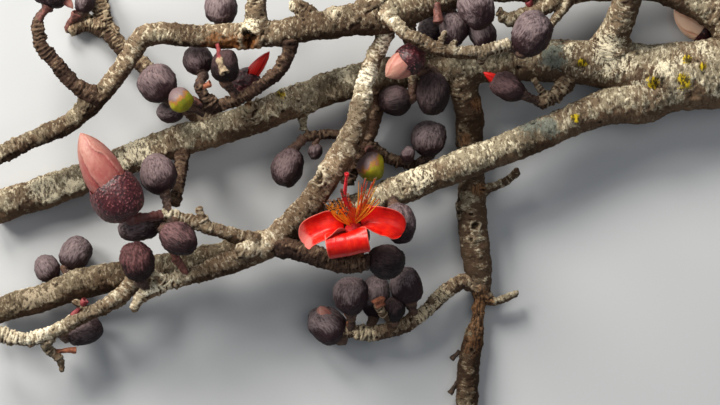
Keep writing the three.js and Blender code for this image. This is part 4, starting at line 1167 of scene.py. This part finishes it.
# Materials
def shade(red, green, blue):
    """A colour as a screen shows it, told from 0 to 255, as the renderer needs it."""
    parts = [v / 255 for v in (red, green, blue)]
    linear = [v / 12.92 if v <= 0.04045 else ((v + 0.055) / 1.055) ** 2.4 for v in parts]
    return (*linear, 1)


class Paint:
    """Builds one procedural material, node by node. Colours are told from 0 to 255."""

    def __init__(self, name, roughness, **finish):
        self.material = bpy.data.materials.new(name)
        self.material.use_nodes = True
        self.tree = self.material.node_tree
        self.surface = self.tree.nodes["Principled BSDF"]
        for socket, value in {"Roughness": roughness, **finish}.items():
            self.surface.inputs[socket.replace("_", " ")].default_value = value
        self.place = self.add("TexCoord").outputs["Object"]

    def add(self, kind, inputs=None, **settings):
        node = self.tree.nodes.new("ShaderNode" + kind)
        for setting, value in settings.items():
            setattr(node, setting, value)
        for socket, value in (inputs or {}).items():
            if isinstance(value, bpy.types.NodeSocket):
                self.tree.links.new(value, node.inputs[socket])
            else:
                node.inputs[socket].default_value = value
        return node

    def noise(self, size, detail=3, stretch=(1, 1, 1), place=None):
        """Noise with features of about that size in millimetres."""
        scale = [MM / size * s for s in stretch]
        inputs = {"Vector": place or self.place, "Scale": scale, "Rotation": NOISE_TURN}
        where = self.add("Mapping", inputs).outputs["Vector"]
        node = self.add("TexNoise", {"Vector": where, "Scale": 1.0, "Detail": detail, "Roughness": 0.62})
        return node.outputs["Fac"]

    def ramp(self, factor, low, high, strength=1.0):
        """Rises from 0 at low to strength at high, and no further."""
        inputs = {"Value": factor, "From Min": low, "From Max": high, "To Max": strength}
        return self.add("MapRange", inputs, interpolation_type="SMOOTHSTEP").outputs["Result"]

    def math(self, operation, *values):
        return self.add("Math", dict(enumerate(values)), operation=operation).outputs[0]

    def ragged(self, mask, noise, amount):
        """A mask with its edge broken up by a noise whose middle is a half."""
        return self.math("MULTIPLY_ADD", self.math("SUBTRACT", noise, 0.5), amount, mask)

    def mix(self, factor, a, b, blend="MIX"):
        """Goes from colour a to colour b as the factor goes from 0 to 1."""
        a, b = (shade(*colour) if isinstance(colour, tuple) else colour for colour in (a, b))
        return self.add("Mix", {0: factor, 6: a, 7: b}, data_type="RGBA", blend_type=blend).outputs[2]

    def coats(self, colour, *coats):
        """Lays coats over a colour, each with its mask, where that starts and ends, and its strength."""
        for coat, mask, low, high, strength in coats:
            colour = self.mix(self.ramp(mask, low, high, strength), colour, coat)
        return colour

    def marks(self, name):
        """The three channels that the mesh carries under that name."""
        colour = self.add("Attribute", None, attribute_name=name).outputs["Color"]
        split = self.add("SeparateColor", {"Color": colour})
        return [split.outputs[channel] for channel in ("Red", "Green", "Blue")]

    def own(self):
        """The straightened place that the mesh carries."""
        return self.add("Attribute", None, attribute_name="own").outputs["Vector"]

    def finish(self, colour, height=None, depth=0.5, strength=0.7):
        """Wires up the colour and a fine relief of that depth in millimetres."""
        self.tree.links.new(colour, self.surface.inputs["Base Color"])
        if height is not None:
            bump = self.add("Bump", {"Height": height, "Distance": depth / MM, "Strength": strength})
            self.tree.links.new(bump.outputs["Normal"], self.surface.inputs["Normal"])
        return self.material


def paint_bark(name, bare, warm, gap, crust, flake):
    """Brown bark, a flaky crust on its upper side, towards the lights, that is partly painted light,
    painted shade in its hollows, pits and shadowed places, and growths and stains in their places.
    """
    paint = Paint(name, 0.92, Specular_IOR_Level=0.12)
    hollow, tone, cut = paint.marks("skin")
    border, white, yellow = paint.marks("growth")
    rust, grey, stripped = paint.marks("patches")
    ridge, painted_shade, fresh = paint.marks("relief")
    own = paint.own()
    streak = paint.noise(2.5, 2, (1, 0.38, 0.38), own)
    fleck = paint.noise(3.3, 3, (1, 0.6, 0.6), own)
    broad = paint.noise(13, 3, (1, 0.6, 0.6), own)
    grain = paint.noise(1.5, 2)
    colour = paint.coats(
        paint.mix(paint.ramp(tone, 0.3, 0.8), bare, warm),
        (gap, streak, 0.48, 0.36, 0.6), (crust, fleck, 0.54, 0.7, 0.6), (gap, grain, 0.45, 0.34, 0.6),
    )
    spotted = paint.ragged(broad, tone, 0.6)
    bright = paint.ragged(paint.ragged(fleck, spotted, 1.3), white, 0.5)
    crusted = paint.coats(
        paint.mix(paint.ramp(spotted, 0.36, 0.6), paint.mix(0.25, warm, crust), crust),
        (gap, streak, 0.48, 0.36, 0.7), (flake, fleck, 0.52, 0.62, 0.6),
        (flake, bright, 0.56, 0.66, 0.9), (gap, grain, 0.45, 0.34, 0.75),
    )
    spread = paint.ragged(paint.ragged(border, streak, 0.5), broad, 0.9)
    # Pale crests on the rings and knot rims: partly the scars' own colour, partly painted highlight
    crest = paint.ragged(ridge, fleck, 0.6)
    colour = paint.coats(
        colour, (crusted, spread, 0.4, 0.6, 1), (paint.mix(0.5, crust, flake), crest, 0.4, 0.8, 0.6),
    )
    yellowish = paint.mix(paint.ramp(fleck, 0.45, 0.58), (74, 62, 22), (200, 172, 18))
    whitish = paint.coats(flake, (gap, streak, 0.5, 0.38, 0.85), (gap, grain, 0.46, 0.36, 0.5))
    greyish = paint.coats((112, 120, 112), (gap, grain, 0.5, 0.36, 0.7))
    fibre = paint.noise(1.8, 2, (0.16, 1, 1), own)
    barewood = paint.mix(paint.ramp(fibre, 0.58, 0.4), (152, 112, 78), (76, 52, 38))
    for mask, patch, strength in (
        (grey, greyish, 0.85), (rust, (116, 68, 26), 0.7),
        (white, whitish, 0.95), (yellow, yellowish, 0.95), (stripped, barewood, 0.85),
    ):
        edge = paint.ragged(paint.ragged(mask, fleck, 0.8), grain, 1.2)
        colour = paint.coats(colour, (patch, edge, 0.5, 0.64, strength))
    # Painted shade: the dark growths darken the bark where it lies in shadow
    shadowed = paint.ramp(paint.ragged(painted_shade, streak, 0.9), 0.3, 0.75, 0.85)
    colour = paint.mix(shadowed, colour, (160, 150, 145), "MULTIPLY")
    # Painted shade in the hollows and the pits
    colour = paint.coats(colour, (paint.mix(0.9, colour, gap, "MULTIPLY"), hollow, 0.52, 0.85, 0.95))
    wood = paint.mix(paint.ramp(fresh, 0.3, 0.7), (205, 176, 132), (166, 130, 90))
    height = paint.math("ADD", streak, paint.math("MULTIPLY", grain, 0.5))
    paint.finish(paint.mix(cut, colour, wood), height, 1.2, 0.75)


def paint_buds():
    """Purple-brown and wrinkled, with a painted grey sheen on the side the light comes from and painted
    shade on the other, painted highlights on its lit ridges and painted shade in its wrinkles.
    """
    paint = Paint("bud skin", 0.6, Specular_IOR_Level=0.35)
    hollow, tone, stalk = paint.marks("skin")
    lit, red, dark = paint.marks("place")
    fissure = paint.noise(1.3, 2, (1, 1, 0.25), paint.own())
    fine = paint.noise(1.3, 3)
    painted_sheen = paint.ragged(paint.ragged(lit, tone, 0.5), fissure, 0.5)
    # A dark base as painted shade, a painted grey sheen towards the light, painted shade in the hollows
    colour = paint.coats(
        (42, 18, 25), ((124, 109, 111), painted_sheen, 0.5, 0.85, 1), ((44, 22, 26), hollow, 0.55, 0.85, 0.75),
        ((42, 20, 25), fissure, 0.47, 0.36, 0.6),
    )
    # Painted highlights on the ridges of the lit side
    ridge_highlight = paint.math("MULTIPLY", paint.ramp(hollow, 0.5, 0.15), paint.ramp(painted_sheen, 0.3, 0.8))
    colour = paint.mix(paint.math("MULTIPLY", ridge_highlight, 0.65), colour, (176, 154, 150))
    colour = paint.mix(paint.ramp(red, 0, 1, 0.75), colour, (204, 108, 104), "MULTIPLY")
    # Darker buds: partly their own tone, partly painted shade
    colour = paint.mix(paint.ramp(dark, 0, 1, 0.8), colour, (120, 84, 84), "MULTIPLY")
    stem = paint.mix(paint.ramp(tone, 0.3, 0.7), (56, 38, 34), (92, 66, 54))
    stem = paint.coats(stem, ((140, 116, 96), fine, 0.5, 0.65, 0.5))
    height = paint.math("ADD", fine, paint.math("MULTIPLY", fissure, 1.2))
    paint.finish(paint.mix(stalk, colour, stem), height, 1.0, 0.9)


def paint_green_buds():
    """Olive yellow, with an orange band before its grey-violet side."""
    paint = Paint("green bud skin", 0.5, Specular_IOR_Level=0.4)
    _, tone, stalk = paint.marks("skin")
    patch = paint.ragged(paint.marks("place")[0], paint.noise(7, 3), 0.9)
    fine = paint.noise(1.3, 3)
    colour = paint.coats(
        (110, 116, 10), ((146, 138, 22), tone, 0.2, 0.8, 1), ((170, 104, 40), patch, 0.56, 0.66, 0.85),
        ((118, 98, 100), patch, 0.62, 0.84, 1), ((84, 74, 30), fine, 0.46, 0.34, 0.6),
    )
    stem = paint.mix(paint.ramp(tone, 0.3, 0.7), (68, 42, 40), (104, 70, 60))
    paint.finish(paint.mix(stalk, colour, stem), fine, 0.4, 0.6)


def paint_calyx(name, low, high, glint):
    """A warty skin with painted highlights on its warts and painted shade, nearly black, in the gaps."""
    paint = Paint(name, 0.45, Specular_IOR_Level=0.5)
    hollow, tone, stalk = paint.marks("skin")
    fine = paint.noise(1.2, 3)
    colour = paint.coats(
        low, (high, tone, 0.2, 0.8, 1), (glint, hollow, 0.36, 0.14, 0.7),
        ((34, 12, 18), hollow, 0.54, 0.62, 0.85), ((40, 14, 22), fine, 0.5, 0.36, 0.5),
    )
    paint.finish(paint.mix(stalk, colour, (92, 52, 48)), fine, 0.3, 0.6)


def paint_folded_petals():
    """Dull pink petals, painted darker and redder as painted shade where one goes under the next, with
    a painted highlight along each petal's edge; those of two buds are scarlet.
    """
    subsurface = {"Subsurface_Weight": 0.04, "Subsurface_Radius": (0.004, 0.002, 0.001)}
    paint = Paint("folded petal", 0.45, Specular_IOR_Level=0.35, **subsurface)
    edge, under, along = paint.marks("skin")
    bright, peach, _ = paint.marks("place")
    veins = paint.noise(1.6, 2, (1, 1, 0.2), paint.own())
    colour = paint.coats(
        (148, 78, 72), ((176, 128, 114), along, 0.35, 0.9, 1),
        ((172, 112, 102), paint.noise(8, 2), 0.4, 0.65, 0.5), ((150, 70, 70), veins, 0.5, 0.36, 0.4),
        ((142, 58, 60), under, 0.2, 1, 0.5), ((220, 184, 170), edge, 0.1, 0.9, 0.12),
    )
    # Pale peach, for one bud partly painted light
    colour = paint.mix(peach, colour, paint.mix(under, (255, 214, 184), (254, 186, 152)))
    scarlet = paint.mix(paint.ramp(under, 0.2, 1), (226, 26, 18), (150, 8, 14))
    paint.finish(paint.mix(bright, colour, scarlet), veins, 0.3, 0.5)


def paint_petals():
    """Scarlet, darker down the throat, paler along the rim and on the outside."""
    subsurface = {"Subsurface_Weight": 0.04, "Subsurface_Radius": (0.004, 0.001, 0.001)}
    paint = Paint("red petal", 0.33, Specular_IOR_Level=0.32, **subsurface)
    vein, edge, along = paint.marks("skin")
    outside, front, left = paint.marks("place")
    mottled = paint.noise(7, 3)
    streak = paint.noise(1.4, 2, (1, 0.12, 1), paint.own())
    colour = paint.coats(
        (202, 10, 6), ((224, 38, 16), mottled, 0.35, 0.7, 1), ((186, 8, 10), vein, 0.45, 0.1, 0.5),
        ((190, 14, 16), streak, 0.5, 0.36, 0.5), ((176, 6, 12), along, 0.3, 0, 0.6),
    )
    back = paint.mix(paint.ramp(mottled, 0.4, 0.6), (206, 96, 84), (168, 92, 88))
    colour = paint.mix(outside, colour, paint.mix(front, back, (196, 10, 8)))
    tip = paint.math("MULTIPLY", left, paint.ramp(paint.ragged(along, mottled, 0.2), 0.74, 0.86))
    colour = paint.mix(tip, colour, (216, 112, 104))
    paint.finish(paint.coats(colour, ((230, 120, 104), edge, 0.92, 1, 0.5)), streak, 0.3, 0.6)


for name, bark in BARKS.items():
    paint_bark(name, *bark["colours"])
paint_buds()
paint_green_buds()
paint_calyx("opening bud skin", (44, 15, 20), (74, 28, 34), (178, 108, 108))
paint_calyx("calyx skin", (72, 44, 28), (104, 66, 38), (140, 96, 60))
paint_folded_petals()
paint_petals()
for name, (low, high, roughness) in {**STAMEN_PAINTS, **STALK_PAINTS}.items():
    paint = Paint(name, roughness, Specular_IOR_Level=0.45)
    colour = paint.mix(paint.ramp(paint.noise(4, 2), 0.3, 0.7), low, high)
    paint.finish(colour, paint.noise(1.0, 2), 0.2, 0.5)

# The bough itself
COURSES = {name: limb_course(limb["stations"]) for name, limb in LIMBS.items()}
for name, limb in LIMBS.items():
    make_limb(name, limb)
for bud in BUDS:
    make_bud(*bud, bud[0])
for i, (twig, *bud) in enumerate(SMALL_BUDS):
    make_bud(f"{twig}_small_bud_{i + 1}", *bud)
for bud in OPENING_BUDS:
    make_opening_bud(*bud)
for name, foot, aim, reach, cone in PETAL_TIPS:
    make_folded_petals(name, spot(*foot), heading(*aim), 0, reach, cone, PETAL_TIP_SEED)
make_spent_stalks()
make_calyx()
for i, petal in enumerate(FLOWER_PETALS):
    make_petal(i + 1, *petal)
make_stamens()


# Floor, light and camera, in metres but for the lens
FLOOR_REACH = 4
LIGHT_DISTANCE = 2.4
SUNLIGHT = (1.0, 0.955, 0.88)
WARM_WHITE = (1.0, 0.97, 0.94)
SKYLIGHT = (0.82, 0.9, 1.0, 1)
SKYLIGHT_STRENGTH = 0.18
# The photo's 720 by 405 pixels cover 720 by 405 millimetres at mid height
VIEW_WIDTH = 0.72
VIEW_MIDDLE = spot(360, 202.5, 60) / MM
LENS = 500
SENSOR = 36
FAR_END = 100


def make_floor(height):
    corners = [(x * FLOOR_REACH, y * FLOOR_REACH, height) for x, y in ((-1, -1), (1, -1), (1, 1), (-1, 1))]
    mesh = bpy.data.meshes.new("floor")
    mesh.from_pydata(corners, [], [(0, 1, 2, 3)])
    floor = bpy.data.objects.new("floor", mesh)
    bpy.context.collection.objects.link(floor)
    paint = Paint("floor", 0.8, Specular_IOR_Level=0.1)
    mesh.materials.append(paint.finish(paint.mix(paint.noise(200, 2), (192, 195, 198), (198, 200, 202))))
    floor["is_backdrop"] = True


def make_light(name, direction, size, power, colour):
    data = bpy.data.lights.new(name, "AREA")
    data.shape = "DISK"
    data.size = size
    data.energy = power
    data.color = colour
    light = bpy.data.objects.new(name, data)
    line = Vector(direction).normalized()
    light.location = line * LIGHT_DISTANCE
    light.rotation_euler = line.to_track_quat("Z", "Y").to_euler()
    bpy.context.collection.objects.link(light)


make_floor(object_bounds()[0].z)
make_light("key", SUN, size=0.9, power=58, colour=SUNLIGHT)
make_light("side", SIDE_SUN, size=0.9, power=46, colour=SUNLIGHT)
make_light("fill", SKY, size=1.6, power=9, colour=WARM_WHITE)
world = bpy.data.worlds.new("studio")
world.use_nodes = True
backdrop = world.node_tree.nodes["Background"]
backdrop.inputs["Color"].default_value = SKYLIGHT
backdrop.inputs["Strength"].default_value = SKYLIGHT_STRENGTH
bpy.context.scene.world = world
bpy.context.scene.view_settings.view_transform = "Standard"

camera_data = bpy.data.cameras.new("camera")
camera_data.lens = LENS
camera_data.sensor_width = SENSOR
camera_data.clip_end = FAR_END
camera = bpy.data.objects.new("camera", camera_data)
camera.location = VIEW_MIDDLE + np.array([0, 0, VIEW_WIDTH * LENS / SENSOR])
bpy.context.collection.objects.link(camera)
bpy.context.scene.camera = camera

low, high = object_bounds()
